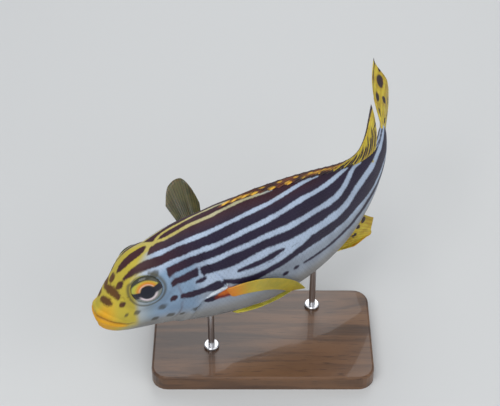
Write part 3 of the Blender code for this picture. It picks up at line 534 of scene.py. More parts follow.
# The paint is laid on by masks. Two groups give it the unevenness of an airbrush and the relief
# of small scales.
def feed(tree, socket, value):
    """Links another socket to this one, or sets a plain value or a linear colour on it."""
    if isinstance(value, bpy.types.NodeSocket):
        tree.links.new(value, socket)
    else:
        socket.default_value = (*value, 1.0) if socket.type == "RGBA" else value


def add_node(tree, kind, *fed, **settings):
    """Node with its settings, and its inputs fed from pairs of a socket's name and a value."""
    node = tree.nodes.new(kind)
    for key, value in settings.items():
        setattr(node, key, value)
    for socket, value in fed:
        feed(tree, node.inputs[socket], value)
    return node


def math_node(tree, operation, first, second=0.0):
    return add_node(tree, "ShaderNodeMath", (0, first), (1, second), operation=operation).outputs[0]


def product(tree, first, second):
    return math_node(tree, "MULTIPLY", first, second)


def about_zero(tree, noise, reach):
    """Noise of 0 to 1 moved to run as far below 0 as above it, over the given reach."""
    return product(tree, math_node(tree, "SUBTRACT", noise, 0.5), reach)


def noise_node(tree, place, scale, detail, distortion=0.0):
    node = add_node(tree, "ShaderNodeTexNoise", ("Vector", place), ("Scale", scale), ("Detail", detail),
                    ("Distortion", distortion))
    return node.outputs["Fac"]


def stretched(tree, place, stretch):
    """Places stretched by a factor along each axis."""
    return add_node(tree, "ShaderNodeMapping", ("Vector", place), ("Scale", stretch)).outputs[0]


def band(tree, value, low, high):
    """0 where the value is under low, 1 over high, smooth between."""
    node = add_node(tree, "ShaderNodeMapRange", ("Value", value), ("From Min", low), ("From Max", high),
                    interpolation_type="SMOOTHSTEP")
    return node.outputs["Result"]


def blend_colour(tree, amount, first, second, mode="MIX"):
    """Colour mixed from first to second."""
    node = add_node(tree, "ShaderNodeMix", data_type="RGBA", blend_type=mode)
    for number, value in ((0, amount), (6, first), (7, second)):
        feed(tree, node.inputs[number], value)
    return node.outputs[2]


def surface_field(tree, name):
    return add_node(tree, "ShaderNodeAttribute", attribute_name=name).outputs["Fac"]


def new_group(name, inputs, outputs):
    """Empty shader node group with float inputs (name, value) and named float outputs."""
    group = bpy.data.node_groups.new(name, "ShaderNodeTree")
    for label, value in inputs:
        socket = group.interface.new_socket(name=label, in_out="INPUT", socket_type="NodeSocketFloat")
        socket.default_value = value
    for label in outputs:
        group.interface.new_socket(name=label, in_out="OUTPUT", socket_type="NodeSocketFloat")
    return group, add_node(group, "NodeGroupInput"), add_node(group, "NodeGroupOutput")


def paint_mottle():
    """Airbrushed unevenness of a painted cast: a soft mask and a fine one, from the place."""
    scales = (("Soft Scale", 60.0), ("Fine Scale", 420.0))
    tree, given, result = new_group("paint_mottle", scales, ("Soft", "Fine"))
    place = add_node(tree, "ShaderNodeTexCoord").outputs["Object"]
    for scale, label, detail in (("Soft Scale", "Soft", 3.0), ("Fine Scale", "Fine", 2.0)):
        feed(tree, result.inputs[label], noise_node(tree, place, given.outputs[scale], detail))
    return tree


def scale_relief():
    """Rows of small overlapping scales over the skin's own map, each with a round free edge."""
    counts = (("Along", 92.0), ("Around", 46.0))
    tree, given, result = new_group("scale_relief", counts, ("Height", "Edge"))
    skin_map = add_node(tree, "ShaderNodeUVMap", uv_map="skin_map").outputs[0]
    spot = add_node(tree, "ShaderNodeSeparateXYZ", (0, skin_map))
    around = product(tree, spot.outputs["Y"], given.outputs["Around"])
    row = math_node(tree, "FLOOR", around)
    shift = product(tree, math_node(tree, "FLOORED_MODULO", row, 2.0), 0.5)
    off_middle = math_node(tree, "SUBTRACT", math_node(tree, "FRACT", around), 0.5)
    bow = product(tree, product(tree, off_middle, off_middle), 1.7)
    along = product(tree, spot.outputs["X"], given.outputs["Along"])
    phase = math_node(tree, "FRACT", math_node(tree, "ADD", math_node(tree, "ADD", along, shift), bow))
    fall = band(tree, phase, 0.0, 0.16)
    height = product(tree, math_node(tree, "SUBTRACT", 1.0, product(tree, phase, 0.75)), fall)
    feed(tree, result.inputs["Height"], height)
    feed(tree, result.inputs["Edge"], math_node(tree, "SUBTRACT", 1.0, band(tree, phase, 0.05, 0.22)))
    return tree


MOTTLE = paint_mottle()
SCALES = scale_relief()


def new_finish(name, roughness, **even):
    """Material with a Principled shader whose even values are set on its own sockets."""
    finish = bpy.data.materials.new(name)
    finish.use_nodes = True
    tree = finish.node_tree
    shader = tree.nodes["Principled BSDF"]
    for socket, value in {"Roughness": roughness, **even}.items():
        feed(tree, shader.inputs[socket.replace("_", " ")], value)
    return finish, tree, shader


def grouped(tree, group, **values):
    node = add_node(tree, "ShaderNodeGroup", node_tree=group)
    for key, value in values.items():
        node.inputs[key.replace("_", " ")].default_value = value
    return node.outputs


def relief(tree, shader, height, strength, distance):
    """Bump on the shader's normal."""
    bump = add_node(tree, "ShaderNodeBump", ("Height", height), ("Strength", strength),
                    ("Distance", distance))
    feed(tree, shader.inputs["Normal"], bump.outputs["Normal"])


PALE_STRIPE = (0.44, 0.53, 0.67)
FLANK_GREY = (0.30, 0.34, 0.40)
BELLY_SHADE_GREY = (0.29, 0.29, 0.285)
HEAD_YELLOW = (0.54, 0.43, 0.050)
SNOUT_ORANGE = (0.80, 0.39, 0.015)
NIGHT_PURPLE = (0.020, 0.013, 0.036)
RUST_BROWN = (0.058, 0.017, 0.020)
SNOUT_UMBER = (0.125, 0.055, 0.014)
CHEEK_BLUE = (0.25, 0.36, 0.50)
ORBIT_OLIVE_AND_LID_SHADE = (0.085, 0.078, 0.045)
FAINT_GREY = (0.062, 0.055, 0.036)
GILL_BLOOD = (0.20, 0.022, 0.012)
ROOT_FLESH = (0.70, 0.16, 0.015)
GILL_GLINT_WHITE = (0.72, 0.78, 0.84)
CREASE_SHADE_BROWN = (0.13, 0.045, 0.015)
MOTTLE_GREY = (0.10, 0.09, 0.12)
SCALE_GREY = (0.06, 0.05, 0.07)
ORBIT_SHADE, CREASE_SHADE, MOTTLE_SHADE, SCALE_SHADE = 0.80, 0.75, 0.22, 0.20

skin_finish, tree, shader = new_finish("striped_skin", 0.52, Specular_IOR_Level=0.24)
mottle = grouped(tree, MOTTLE, Soft_Scale=55.0, Fine_Scale=520.0)
scales = grouped(tree, SCALES)
fine = about_zero(tree, mottle["Fine"], 1.6)
edge_noise = math_node(tree, "ADD", about_zero(tree, mottle["Soft"], 2.4), fine)


def edged(field, unevenness, low, high):
    """Mask of a marking from its field of distances in millimetres, with an uneven edge."""
    return band(tree, math_node(tree, "ADD", surface_field(tree, field), unevenness), low, high)


# Ground colours from the pale stripes through the lower flank to the head; the grey of the belly is
# painted shade.
pale = PALE_STRIPE
for field, paint in (("belly", BELLY_SHADE_GREY), ("flank", FLANK_GREY), ("cheek", CHEEK_BLUE),
                     ("yellow", HEAD_YELLOW), ("orange", SNOUT_ORANGE)):
    pale = blend_colour(tree, surface_field(tree, field), pale, paint)
night = blend_colour(tree, surface_field(tree, "rust"), NIGHT_PURPLE, RUST_BROWN)
night = blend_colour(tree, surface_field(tree, "umber"), night, SNOUT_UMBER)
colour = blend_colour(tree, edged("dark_mm", edge_noise, -0.95, 0.95), pale, night)
# Over the ground: gill blood, the fin's root, the painted highlight on the gill edge, faint spots, and
# painted shade round the eye and in the creases.
for mask, paint in ((edged("blood_mm", edge_noise, -1.6, 1.6), GILL_BLOOD),
                    (edged("root_mm", edge_noise, -1.4, 1.8), ROOT_FLESH),
                    (edged("glint_mm", fine, -0.6, 0.6), GILL_GLINT_WHITE),
                    (surface_field(tree, "faint"), FAINT_GREY),
                    (product(tree, surface_field(tree, "orbit"), ORBIT_SHADE), ORBIT_OLIVE_AND_LID_SHADE),
                    (product(tree, surface_field(tree, "crease"), CREASE_SHADE), CREASE_SHADE_BROWN)):
    colour = blend_colour(tree, mask, colour, paint)
tint = product(tree, band(tree, mottle["Soft"], 0.35, 0.75), MOTTLE_SHADE)
colour = blend_colour(tree, tint, colour, MOTTLE_GREY, "MULTIPLY")
scale_edge = product(tree, scales["Edge"], surface_field(tree, "scaly"))
colour = blend_colour(tree, product(tree, scale_edge, SCALE_SHADE), colour, SCALE_GREY)
feed(tree, shader.inputs["Base Color"], colour)
scale_height = product(tree, scales["Height"], surface_field(tree, "scaly"))
skin_height = math_node(tree, "ADD", scale_height, product(tree, mottle["Fine"], 0.35))
relief(tree, shader, skin_height, 0.45, 0.0005)

tip = placed(SNOUT_TIP, 0, SNOUT_TIP_HEIGHT) + ahead * lift[0].mean() * MM
tail_middle = placed(1.0, 0, (back_height(1.0) + belly_height(1.0)) / 2)
points = np.concatenate([surface.reshape(-1, 3), [tip, tail_middle]])


def with_ends(values):
    """Values of the grid followed by those of the two end points."""
    return np.concatenate([np.ravel(values), [np.mean(values[0]), np.mean(values[-1])]])


# Painted shade: brown darkening in the slit of the closed mouth, in the groove behind the cheek fold and
# on the upper lip along the mouth.
mouth_slit_shade = 0.8 * ease(0.098, 0.074, S) * ridge(over_mouth, 0, 1.1)
cheek_groove_shade = 0.4 * np.exp(-(cheek_gap - 1.6) ** 2 / 1.4) * cheek_on * ease(0.5, -0.5, dark)
lip_shade = np.where(over_mouth > 0, 0.30 * ridge(over_mouth, 0, 3.5), 0) * lip_ends
painted_crease_shade = np.max([mouth_slit_shade, cheek_groove_shade, lip_shade], axis=0)
scaly = ease(0.13, 0.22, S) * (1 - 0.6 * ease(0.93, 1.0, S))
fields = {
    "dark_mm": dark, "belly": belly_shade, "yellow": yellow, "orange": orange, "rust": rust,
    "flank": ease(0.47, 0.56, V) * (1 - belly_shade) * ease(0.12, 0.2, S),
    "blood_mm": gill_blood, "glint_mm": gill_glint, "crease": painted_crease_shade, "scaly": scaly,
    "orbit": orbit, "faint": 0.78 * ease(-1.0, 0.8, all_stripes(FAINT_SPOTS)), "cheek": cheek,
    "umber": umber, "root_mm": fin_root,
}
fields = {key: with_ends(values) for key, values in fields.items()}
body_skin = add_piece("body_skin", points, closed_faces(len(S), COLUMNS), skin_finish, fields)
skin_map = body_skin.data.uv_layers.new(name="skin_map")
corner = corner_points(body_skin.data)
corner_s, corner_t = with_ends(S)[corner], with_ends(T)[corner]
face_sizes = [len(face.vertices) for face in body_skin.data.polygons]
face_of = np.repeat(np.arange(len(face_sizes)), face_sizes)
low, high = np.full(len(face_sizes), 1.0), np.full(len(face_sizes), -1.0)
np.minimum.at(low, face_of, corner_t)
np.maximum.at(high, face_of, corner_t)
wraps = (high - low)[face_of] > 1  # faces that join the last column to the first
corner_t = np.where(wraps & (corner_t < 0), corner_t + 2, corner_t)
skin_map.data.foreach_set("uv", np.stack([corner_s, corner_t], -1).ravel())
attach(body_skin, "root")
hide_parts("head", "upper_lip", "lower_lip", "torso", "tail")


# Eyes. Glass eyes as a taxidermist sets them: a black pupil in a gold iris with a dark bar
# across it, under a clear domed front. Each is painted from masks over its own disc.
EYE_RINGS, EYE_SECTORS = 44, 112
EYE_SPAN, EYE_ROUND = (0.012, 0.86), 0.85
PUPIL_WIDE, PUPIL_TALL = 0.47, 0.50
BAR_DROP, BAR_SLOPE = 0.03, 0.38

eye_finish, tree, shader = new_finish("glass_eye", 0.16, Coat_Weight=0.5, Coat_Roughness=0.03,
                                      Specular_IOR_Level=0.15)
eye_map = add_node(tree, "ShaderNodeUVMap", uv_map="eye_map").outputs[0]
fibres = noise_node(tree, stretched(tree, eye_map, (0.6, 5.0, 1.0)), 9.0, 4.0)
iris = blend_colour(tree, surface_field(tree, "warm"), (0.50, 0.50, 0.06), (0.72, 0.24, 0.03))
iris = blend_colour(tree, product(tree, band(tree, fibres, 0.35, 0.68), 0.30), iris, (0.16, 0.13, 0.02))
for field, paint in (("ash", (0.20, 0.22, 0.20)), ("bar", (0.012, 0.010, 0.022)),
                     ("rosy", (0.80, 0.66, 0.70)), ("pupil", (0.004, 0.005, 0.016)),
                     ("limb_and_lid_shade", (0.05, 0.05, 0.035))):
    iris = blend_colour(tree, surface_field(tree, field), iris, paint)
feed(tree, shader.inputs["Base Color"], iris)
relief(tree, shader, fibres, 0.10, 0.0002)

for side, name in ((-1, "eye_left"), (1, "eye_right")):
    centre, look, forward, upward = eye_frame(side)
    ring = np.linspace(*EYE_SPAN, EYE_RINGS)[:, None] * pi
    sector = 2 * pi * np.arange(EYE_SECTORS)[None, :] / EYE_SECTORS
    across = np.sin(ring) * np.cos(sector)
    above = np.sin(ring) * np.sin(sector)
    front = np.cos(ring) > 0
    dome = np.sign(np.cos(ring)) * np.abs(np.cos(ring)) ** EYE_ROUND
    dome = np.broadcast_to(dome + 0.02 * ridge(np.sin(ring), 0, 0.5) * front, across.shape)
    ball = centre + (across[..., None] * forward + above[..., None] * upward) * EYE_RADIUS
    ball = ball + dome[..., None] * look * EYE_DEPTH
    poles = [centre + look * EYE_DEPTH * 1.02, centre - look * EYE_DEPTH * 0.9]
    points = np.concatenate([ball.reshape(-1, 3), poles])
    off_bar = above + BAR_DROP + BAR_SLOPE * across
    pupil_gap = np.hypot((across + 0.03) / PUPIL_WIDE, (above - 0.01) / PUPIL_TALL) - 1
    bar = 1 - ease(0.17, 0.27, np.abs(off_bar) - 0.05 * np.abs(across))
    under = ease(-0.11, -0.41, above + 0.25 * across)
    rosy = ridge(pupil_gap, 0.20, 0.17) * under
    rosy = np.maximum(rosy, 0.55 * ridge(pupil_gap, 0.08, 0.07) * ease(0.15, 0.40, off_bar))
    # The dark limb round the iris is widened at the top: painted shade of the upper lid.
    masks = {
        "pupil": 1 - ease(-0.05, 0.05, pupil_gap), "bar": bar, "rosy": rosy,
        "warm": ridge(pupil_gap, 0.20, 0.35) * ease(0.05, 0.3, off_bar),
        "ash": ease(0.02, -0.15, off_bar),
        "limb_and_lid_shade": ease(-0.05, 0.04, np.sin(ring) - 0.95 + 0.14 * ease(0.20, 0.80, above)),
    }
    for key, values in masks.items():
        masks[key] = np.append(np.ravel(values * front), [np.mean(values[0]), 0])
    eye = add_piece(name + "_glass", points, closed_faces(EYE_RINGS, EYE_SECTORS), eye_finish, masks)
    eye_uv = eye.data.uv_layers.new(name="eye_map")
    corner = corner_points(eye.data)
    ring_map = np.append(np.ravel(np.broadcast_to(ring, across.shape)), [0, pi])
    polar = np.append(np.ravel(np.broadcast_to(np.abs(sector - pi), across.shape)), [0, 0])
    eye_uv.data.foreach_set("uv", np.stack([ring_map[corner], polar[corner]], -1).ravel())
    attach(eye, "root")
    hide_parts(name)


# Fins. Each is a thin web of painted membrane with its rays standing out of both faces, cast
# as one and set into the body. A fin is a function from the share along its root (0 to 1) and
# the way out along its rays (0 to 1) to world points; its web and its rays both follow it.
WEB_ROWS = 34
WEB_PER_RAY = 8
WEB_THICKNESS = 0.0006
ROOT_THICKENING = 0.0011
FIRST_RAY, BARE_ENDS = 0.28, 0.44
RAY_SIDES = 7
RAY_TIP = 0.0003
FORK_DRIFT, FORK_THIN = 0.272, 0.62


def ray_share(ray, rays):
    """Share along the root of a fin's ray, counted from 0."""
    return (ray + FIRST_RAY) / (rays - BARE_ENDS)


def between_rays(share, rays):
    """0 on a ray, 1 half way to the next."""
    phase = share * (rays - BARE_ENDS) - FIRST_RAY
    return ease(0, 0.5, np.abs(phase - np.round(phase)))


def fin_web(name, shape, rays, finish, mark, swell, rows):
    """Closed web of a fin, a little thicker at its root, with its painted marks."""
    share = np.linspace(0, 1, rays * WEB_PER_RAY + 1)[None, :]
    out = np.linspace(0, 1, rows)[:, None]
    grid = shape(share, out)
    down, side_way = np.gradient(grid, axis=0), np.gradient(grid, axis=1)
    across = unit(np.cross(down, side_way))
    gap = between_rays(share, rays)
    thick = WEB_THICKNESS * (1.0 - 0.35 * out) * (1 - 0.45 * gap)
    thick = thick + swell * (1 - ease(0, 0.28, out)) * (1 - 0.97 * (2 * share - 1) ** 2)
    thick = thick + ROOT_THICKENING * (1 - ease(0, 0.10, out))
    thick = thick * (1 - 0.6 * ease(0.96, 1.0, out))
    near = grid + across * thick[..., None] / 2
    far = grid - across * thick[..., None] / 2
    count = share.size
    half = rows * count
    faces = grid_faces(rows, count, False)
    faces += [tuple(half + i for i in reversed(face)) for face in faces]
    rim = list(range(count)) + [i * count + count - 1 for i in range(1, rows)]
    rim += [(rows - 1) * count + j for j in range(count - 2, -1, -1)]
    rim += [i * count for i in range(rows - 2, 0, -1)]
    faces += [(a, half + a, half + b, b) for a, b in zip(rim, rim[1:] + rim[:1])]
    whole_share, whole_out = np.broadcast_arrays(share, out)
    fields = {**mark(whole_share, whole_out), "gap": gap + 0 * whole_out}
    fields = {key: np.tile(np.ravel(values), 2) for key, values in fields.items()}
    points = np.concatenate([near.reshape(-1, 3), far.reshape(-1, 3)])
    return add_piece(name, points, faces, finish, fields)


def ray_tree():
    """Geometry nodes that turn ray lines into jointed rods: each line is thinned to its own
    thickness, beaded at its joints, and given the fin's finish."""
    tree = bpy.data.node_groups.new("ray_rods", "GeometryNodeTree")
    for label, kind in (("Geometry", "Geometry"), ("Bead", "Float"), ("Finish", "Material")):
        tree.interface.new_socket(name=label, in_out="INPUT", socket_type="NodeSocket" + kind)
    tree.interface.new_socket(name="Geometry", in_out="OUTPUT", socket_type="NodeSocketGeometry")
    given, result = add_node(tree, "NodeGroupInput"), add_node(tree, "NodeGroupOutput")
    thickness = add_node(tree, "GeometryNodeInputNamedAttribute", ("Name", "thickness"), data_type="FLOAT")
    number = add_node(tree, "GeometryNodeInputIndex")
    parity = math_node(tree, "FLOORED_MODULO", number.outputs[0], 2.0)  # every second point of a ray
    waist = math_node(tree, "SUBTRACT", 1.0, product(tree, parity, given.outputs["Bead"]))
    radius = product(tree, thickness.outputs["Attribute"], waist)
    lines = add_node(tree, "GeometryNodeMeshToCurve", (0, given.outputs["Geometry"]))
    sized = add_node(tree, "GeometryNodeSetCurveRadius", ("Curve", lines.outputs[0]), ("Radius", radius))
    circle = add_node(tree, "GeometryNodeCurvePrimitiveCircle", ("Radius", 1.0), ("Resolution", RAY_SIDES))
    rods = add_node(tree, "GeometryNodeCurveToMesh", ("Curve", sized.outputs[0]), ("Fill Caps", True),
                    ("Profile Curve", circle.outputs[0]))
    if "Scale" in rods.inputs:
        feed(tree, rods.inputs["Scale"], radius)
    smooth = add_node(tree, "GeometryNodeSetShadeSmooth", (0, rods.outputs[0]))
    real = add_node(tree, "GeometryNodeRealizeInstances", (0, smooth.outputs[0]))
    dressed = add_node(tree, "GeometryNodeSetMaterial", ("Geometry", real.outputs[0]),
                       ("Material", given.outputs["Finish"]))
    feed(tree, result.inputs[0], dressed.outputs[0])
    return tree


RAY_RODS = ray_tree()


def fin_rays(name, shape, rays, finish, mark, root, split, tip=RAY_TIP, steps=30, bead=0.10):
    """Rays of a fin as rods. Each runs alone up to the split (a way out) and forks there in two,
    which lie in the web on either side of it. A split of 1 leaves the rays whole."""
    points, edges, thickness, shares, outs = [], [], [], [], []
    spacing = 1.0 / (rays - BARE_ENDS)
    for ray in range(rays):
        middle = ray_share(ray, rays)
        lines = [(0.0, split, 0.0, 1.0)]
        if split < 1:
            lines += [(split, 1.0, sign * FORK_DRIFT, FORK_THIN) for sign in (-1, 1)]
        for start, stop, drift, thin in lines:
            out = np.linspace(start, stop, max(3, int(steps * (stop - start)) + 1))
            share = np.clip(middle + drift * ease(start, 1.0, out) * spacing, 0, 1)
            first = len(points)
            points += shape(share, out).tolist()
            edges += [(first + i, first + i + 1) for i in range(len(out) - 1)]
            thickness += list((root + (tip - root) * out) * thin)
            shares += list(share)
            outs += list(out)
    mesh = bpy.data.meshes.new(name + "_lines")
    mesh.from_pydata(points, edges, [])
    lay_fields(mesh, mark(np.array(shares), np.array(outs)))
    lay_fields(mesh, {"thickness": thickness, "gap": np.zeros(len(outs))})
    rods = bpy.data.objects.new(name, mesh)
    bpy.context.collection.objects.link(rods)
    maker = rods.modifiers.new("rods", "NODES")
    maker.node_group = RAY_RODS
    sockets = {item.name: item.identifier for item in RAY_RODS.interface.items_tree}
    maker[sockets["Bead"]] = bead
    maker[sockets["Finish"]] = finish
    rods.update_tag()
    made = rods.evaluated_get(bpy.context.evaluated_depsgraph_get())
    solid = bpy.data.meshes.new_from_object(made)
    rods.modifiers.clear()
    rods.data = solid
    return rods


def cast_fin(name, shape, rays, finish, mark, root, split, swell=0.0, rows=WEB_ROWS, **ray_form):
    """Web and rays of one fin."""
    web = fin_web(name + "_web", shape, rays, finish, mark, swell, rows)
    bones = fin_rays(name + "_rays", shape, rays, finish, mark, root, split, **ray_form)
    return web, bones


def fin_finish(name, light, deep, dark, second):
    """Painted fin: two warm tones mottled over it, dark marks with soft edges, and a second
    mark colour, all driven by the web's own masks."""
    finish, tree, shader = new_finish(name, 0.42, Coat_Weight=0.10, Subsurface_Weight=0.10,
                                      Subsurface_Scale=0.002)
    mottle = grouped(tree, MOTTLE, Soft_Scale=120.0, Fine_Scale=700.0)
    base = blend_colour(tree, band(tree, mottle["Soft"], 0.38, 0.66), light, deep)
    uneven = about_zero(tree, mottle["Soft"], 0.9)
    marked = band(tree, math_node(tree, "ADD", surface_field(tree, "mark"), uneven), 0.30, 0.70)
    colour = blend_colour(tree, surface_field(tree, "tone"), base, second)
    between = product(tree, surface_field(tree, "gap"), 0.30)
    colour = blend_colour(tree, between, colour, (0.25, 0.20, 0.06), "MULTIPLY")
    colour = blend_colour(tree, marked, colour, dark)
    feed(tree, shader.inputs["Base Color"], colour)
    relief(tree, shader, mottle["Fine"], 0.25, 0.0003)
    return finish


def blot(share, out, spots):
    """Mask of soft oval spots, each (share, out, half size along the root, half size outwards)."""
    mask = np.zeros(np.broadcast(share, out).shape)
    for s0, o0, wide, tall in spots:
        mask = np.maximum(mask, 1.0 - 0.5 * np.hypot((share - s0) / wide, (out - o0) / tall) ** 2)
    return np.clip(mask, 0, 1)


# Fin of the back: thirteen folded spines, then soft rays that rise towards the tail.
# Its ray tips lie behind their roots by a reach and above the back by a tip height.
DORSAL_AT = (0.330, 0.36, 0.42, 0.50, 0.58, 0.66, 0.72, 0.78, 0.83, 0.87, 0.90)
DORSAL_REACH = (0.050, 0.070, 0.085, 0.085, 0.080, 0.080, 0.085, 0.085, 0.080, 0.070, 0.055)
DORSAL_TIP = (0.012, 0.020, 0.025, 0.026, 0.025, 0.027, 0.037, 0.060, 0.088, 0.110, 0.112)
DORSAL_SPINES, DORSAL_RAYS = 13, 18
DORSAL_START, DORSAL_SPLIT, DORSAL_END = 0.333, 0.660, 0.885
DORSAL_LEAN = 0.028
RAY_INCISION = 0.03
ROOT_SINK = 0.0022


def root_sunk(out):
    """1 at the root of a fin, where it is set into the body, and 0 from a little way out."""
    return 1 - ease(0, 0.06, out)


def dorsal_shape(first, last, rays):
    def shape(share, out):
        base = between(first, last, share)
        trim = 1 - RAY_INCISION * between_rays(share, rays) * out
        s = base + through(DORSAL_AT, DORSAL_REACH, base) * out * trim
        z = back_height(np.minimum(s, 1.0)) + through(DORSAL_AT, DORSAL_TIP, base) * out * trim
        z = z - ROOT_SINK / STANDARD_LENGTH * root_sunk(out)
        return placed(s, DORSAL_LEAN * ease(0.62, 0.85, base) * out ** 2, z)
    return shape


def spiny_mark(share, out):
    """Yellow patches in two rows along the fin, whose spines lean back, under a dark edge."""
    along = share + 0.26 * out
    patches = [(0.31 + 0.15 * i, 0.27, 0.036, 0.21) for i in range(6)] + [(0.17, 0.32, 0.15, 0.22)]
    patches += [(0.385 + 0.15 * i, 0.70, 0.026, 0.12) for i in range(5)]
    rear = ease(0.55, 0.72, share)
    spine_line = 0.45 * (1 - ease(0.0, 0.25, between_rays(share, DORSAL_SPINES))) * ease(0.10, 0.30, out)
    rear_streak = 0.8 * rear * ridge(out, 0.62, 0.10)
    tone = np.maximum(ease(0.35, 0.80, blot(along, out, patches)), rear_streak)
    edge = np.maximum(ease(0.88, 0.95, out), 0.8 * rear * (1 - ease(0.30, 0.44, out)))
    return {"mark": np.maximum(spine_line, edge), "tone": tone}


def soft_mark(share, out):
    streaks = [(0.06 + 0.085 * i, 0.30 + 0.10 * (i % 2), 0.026, 0.26) for i in range(11)]
    streaks += [(0.10 + 0.17 * i, 0.66, 0.020, 0.16) for i in range(6)]
    mask = np.maximum(blot(share, out, streaks), ease(0.90, 0.93, out))
    mask = np.maximum(mask, 0.8 * ease(0.80, 0.86, share) * ridge(out, 0.60, 0.035))
    mask = np.maximum(mask, (1 - ease(0.30, 0.50, share)) * (1 - ease(0.13, 0.22, out)))
    return {"mark": mask, "tone": 0.0 * mask}


YELLOW, GOLD, ORANGE_RED = (0.60, 0.46, 0.030), (0.44, 0.30, 0.015), (0.62, 0.22, 0.012)
INK = (0.028, 0.014, 0.014)
spiny_finish = fin_finish("spiny_fin_paint", (0.17, 0.045, 0.014), (0.065, 0.021, 0.014),
                          (0.030, 0.012, 0.013), (0.86, 0.48, 0.045))
soft_finish = fin_finish("soft_fin_paint", YELLOW, GOLD, INK, ORANGE_RED)
spiny_shape = dorsal_shape(DORSAL_START, DORSAL_SPLIT - 0.002, DORSAL_SPINES)
soft_shape = dorsal_shape(DORSAL_SPLIT + 0.002, DORSAL_END, DORSAL_RAYS)
for name, shape, rays, mark, finish, root, split, bead in (
        ("dorsal_fin_spiny", spiny_shape, DORSAL_SPINES, spiny_mark, spiny_finish, 0.00105, 1.0, 0.0),
        ("dorsal_fin_soft", soft_shape, DORSAL_RAYS, soft_mark, soft_finish, 0.0009, 0.5, 0.12)):
    for piece in cast_fin(name, shape, rays, finish, mark, root, split, bead=bead):
        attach(piece, "root")
        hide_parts(name)

# Anal fin, folded back under the tail
ANAL_AT = (0.665, 0.69, 0.72, 0.76, 0.80)
ANAL_REACH = (0.070, 0.098, 0.090, 0.050, 0.022)
ANAL_TIP = (0.025, 0.058, 0.074, 0.056, 0.030)
ANAL_CLEAR = 0.004
ANAL_RAYS = 11
ANAL_LEAN = -0.028


def anal_shape(share, out):
    base = between(ANAL_AT[0], ANAL_AT[-1], share)
    s = base + through(ANAL_AT, ANAL_REACH, base) * out
    tip = through(ANAL_AT, ANAL_TIP, base) * out
    z = belly_height(s) - tip - ANAL_CLEAR * ease(0, 0.25, out)
    z = z + ROOT_SINK / STANDARD_LENGTH * root_sunk(out)
    return placed(s, ANAL_LEAN * out ** 1.5, z)


def anal_mark(share, out):
    spots = [(0.88, 0.46, 0.08, 0.11), (0.70, 0.36, 0.06, 0.10), (0.46, 0.38, 0.06, 0.08)]
    mask = blot(share, out, spots)
    return {"mark": mask, "tone": 0.55 * ease(0.75, 1.0, out) * ease(0.6, 0.2, share)}


anal_finish = fin_finish("anal_fin_paint", YELLOW, GOLD, INK, ORANGE_RED)
for piece in cast_fin("anal_fin", anal_shape, ANAL_RAYS, anal_finish, anal_mark, 0.0010, 0.5):
    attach(piece, "root")
    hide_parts("anal_fin")

# Tail fin: seventeen branched rays that fan out from the end of the tail
CAUDAL_RAYS = 17
CAUDAL_SWELL = 0.0062
CAUDAL_ROOT = (-0.052, 0.055)
CAUDAL_TIP, CAUDAL_LENGTH, CAUDAL_LOBE, CAUDAL_CUP = 0.125, 0.170, 0.050, 0.026


def caudal_shape(share, out):
    fan = 2 * share - 1
    root = between(*CAUDAL_ROOT, share)
    end = 1.0 + CAUDAL_LENGTH + CAUDAL_LOBE * np.abs(fan) ** 1.6
    s = 1.0 + (end - 1.0) * out - 0.012 * root_sunk(out)
    z = root + (CAUDAL_TIP * fan - root) * out
    top = CAUDAL_CUP * np.sin(pi * 0.85 * out) * ease(0.3, 1.0, fan)
    rest = CAUDAL_CUP * out ** 1.5 * (1 - ease(0.5, 1.0, fan))
    return placed(s, top - rest, z)


def caudal_mark(share, out):
    spots = [(0.860, 0.84, 0.045, 0.09), (0.882, 0.55, 0.034, 0.085), (0.866, 0.28, 0.034, 0.085),
             (0.765, 0.63, 0.040, 0.055), (0.690, 0.30, 0.045, 0.060), (0.890, 1.00, 0.020, 0.04),
             (0.640, 0.80, 0.045, 0.065), (0.560, 0.52, 0.042, 0.070), (0.440, 0.80, 0.045, 0.065),
             (0.400, 0.46, 0.042, 0.065), (0.270, 0.68, 0.042, 0.080), (0.180, 0.86, 0.040, 0.070),
             (0.150, 0.44, 0.036, 0.080)]
    edge_line = np.maximum(ridge(share, 0.965, 0.012), ridge(share, 0.035, 0.012))
    mask = np.maximum(blot(share, out, spots), 0.9 * edge_line)
    mask = np.maximum(mask, ease(0.93, 0.99, out) * ease(0.95, 0.99, share))
    streak = blot(share, out, [(0.935, 0.16, 0.022, 0.16), (0.065, 0.16, 0.022, 0.16)])
    return {"mark": mask, "tone": 0.9 * ease(0.3, 0.8, streak)}


caudal_finish = fin_finish("caudal_fin_paint", YELLOW, GOLD, INK, PALE_STRIPE)
for piece in cast_fin("caudal_fin", caudal_shape, CAUDAL_RAYS, caudal_finish, caudal_mark, 0.0012, 0.42,
                      swell=CAUDAL_SWELL, rows=44, tip=0.00032, steps=40):
    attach(piece, "root")
    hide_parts("caudal_fin")

# Breast fins: the left lies back along the flank, the right is spread on the far side
PECTORAL_RAYS = 15
PECTORAL_ROOT = ((0.315, -0.024), (0.330, -0.054))
PECTORAL_SINK = np.array([0, 0.009, 0])
FOLDED_TIP, FOLDED_CONTROL = (0.5364, -0.0591, -0.1424), (0.4424, -0.1006, 0.0069)
FOLDED_SPREAD, FOLDED_TAPER = (-0.0188, 0.0075, -0.0677), 0.0581
RAISED_SWING, RAISED_LENGTH = (-24.3, 14.2), (0.150, 0.174, 0.174, 0.106)
RAISED_HEIGHT, RAISED_CONTROL = (0.0835, 0.0431, 0.0102), 0.012


def flank_root(share, side):
    (s0, z0), (s1, z1) = PECTORAL_ROOT
    share = np.clip(share, 0, 1)
    return np.stack(side_point(between(s0, s1, share), between(z0, z1, share), side), -1)


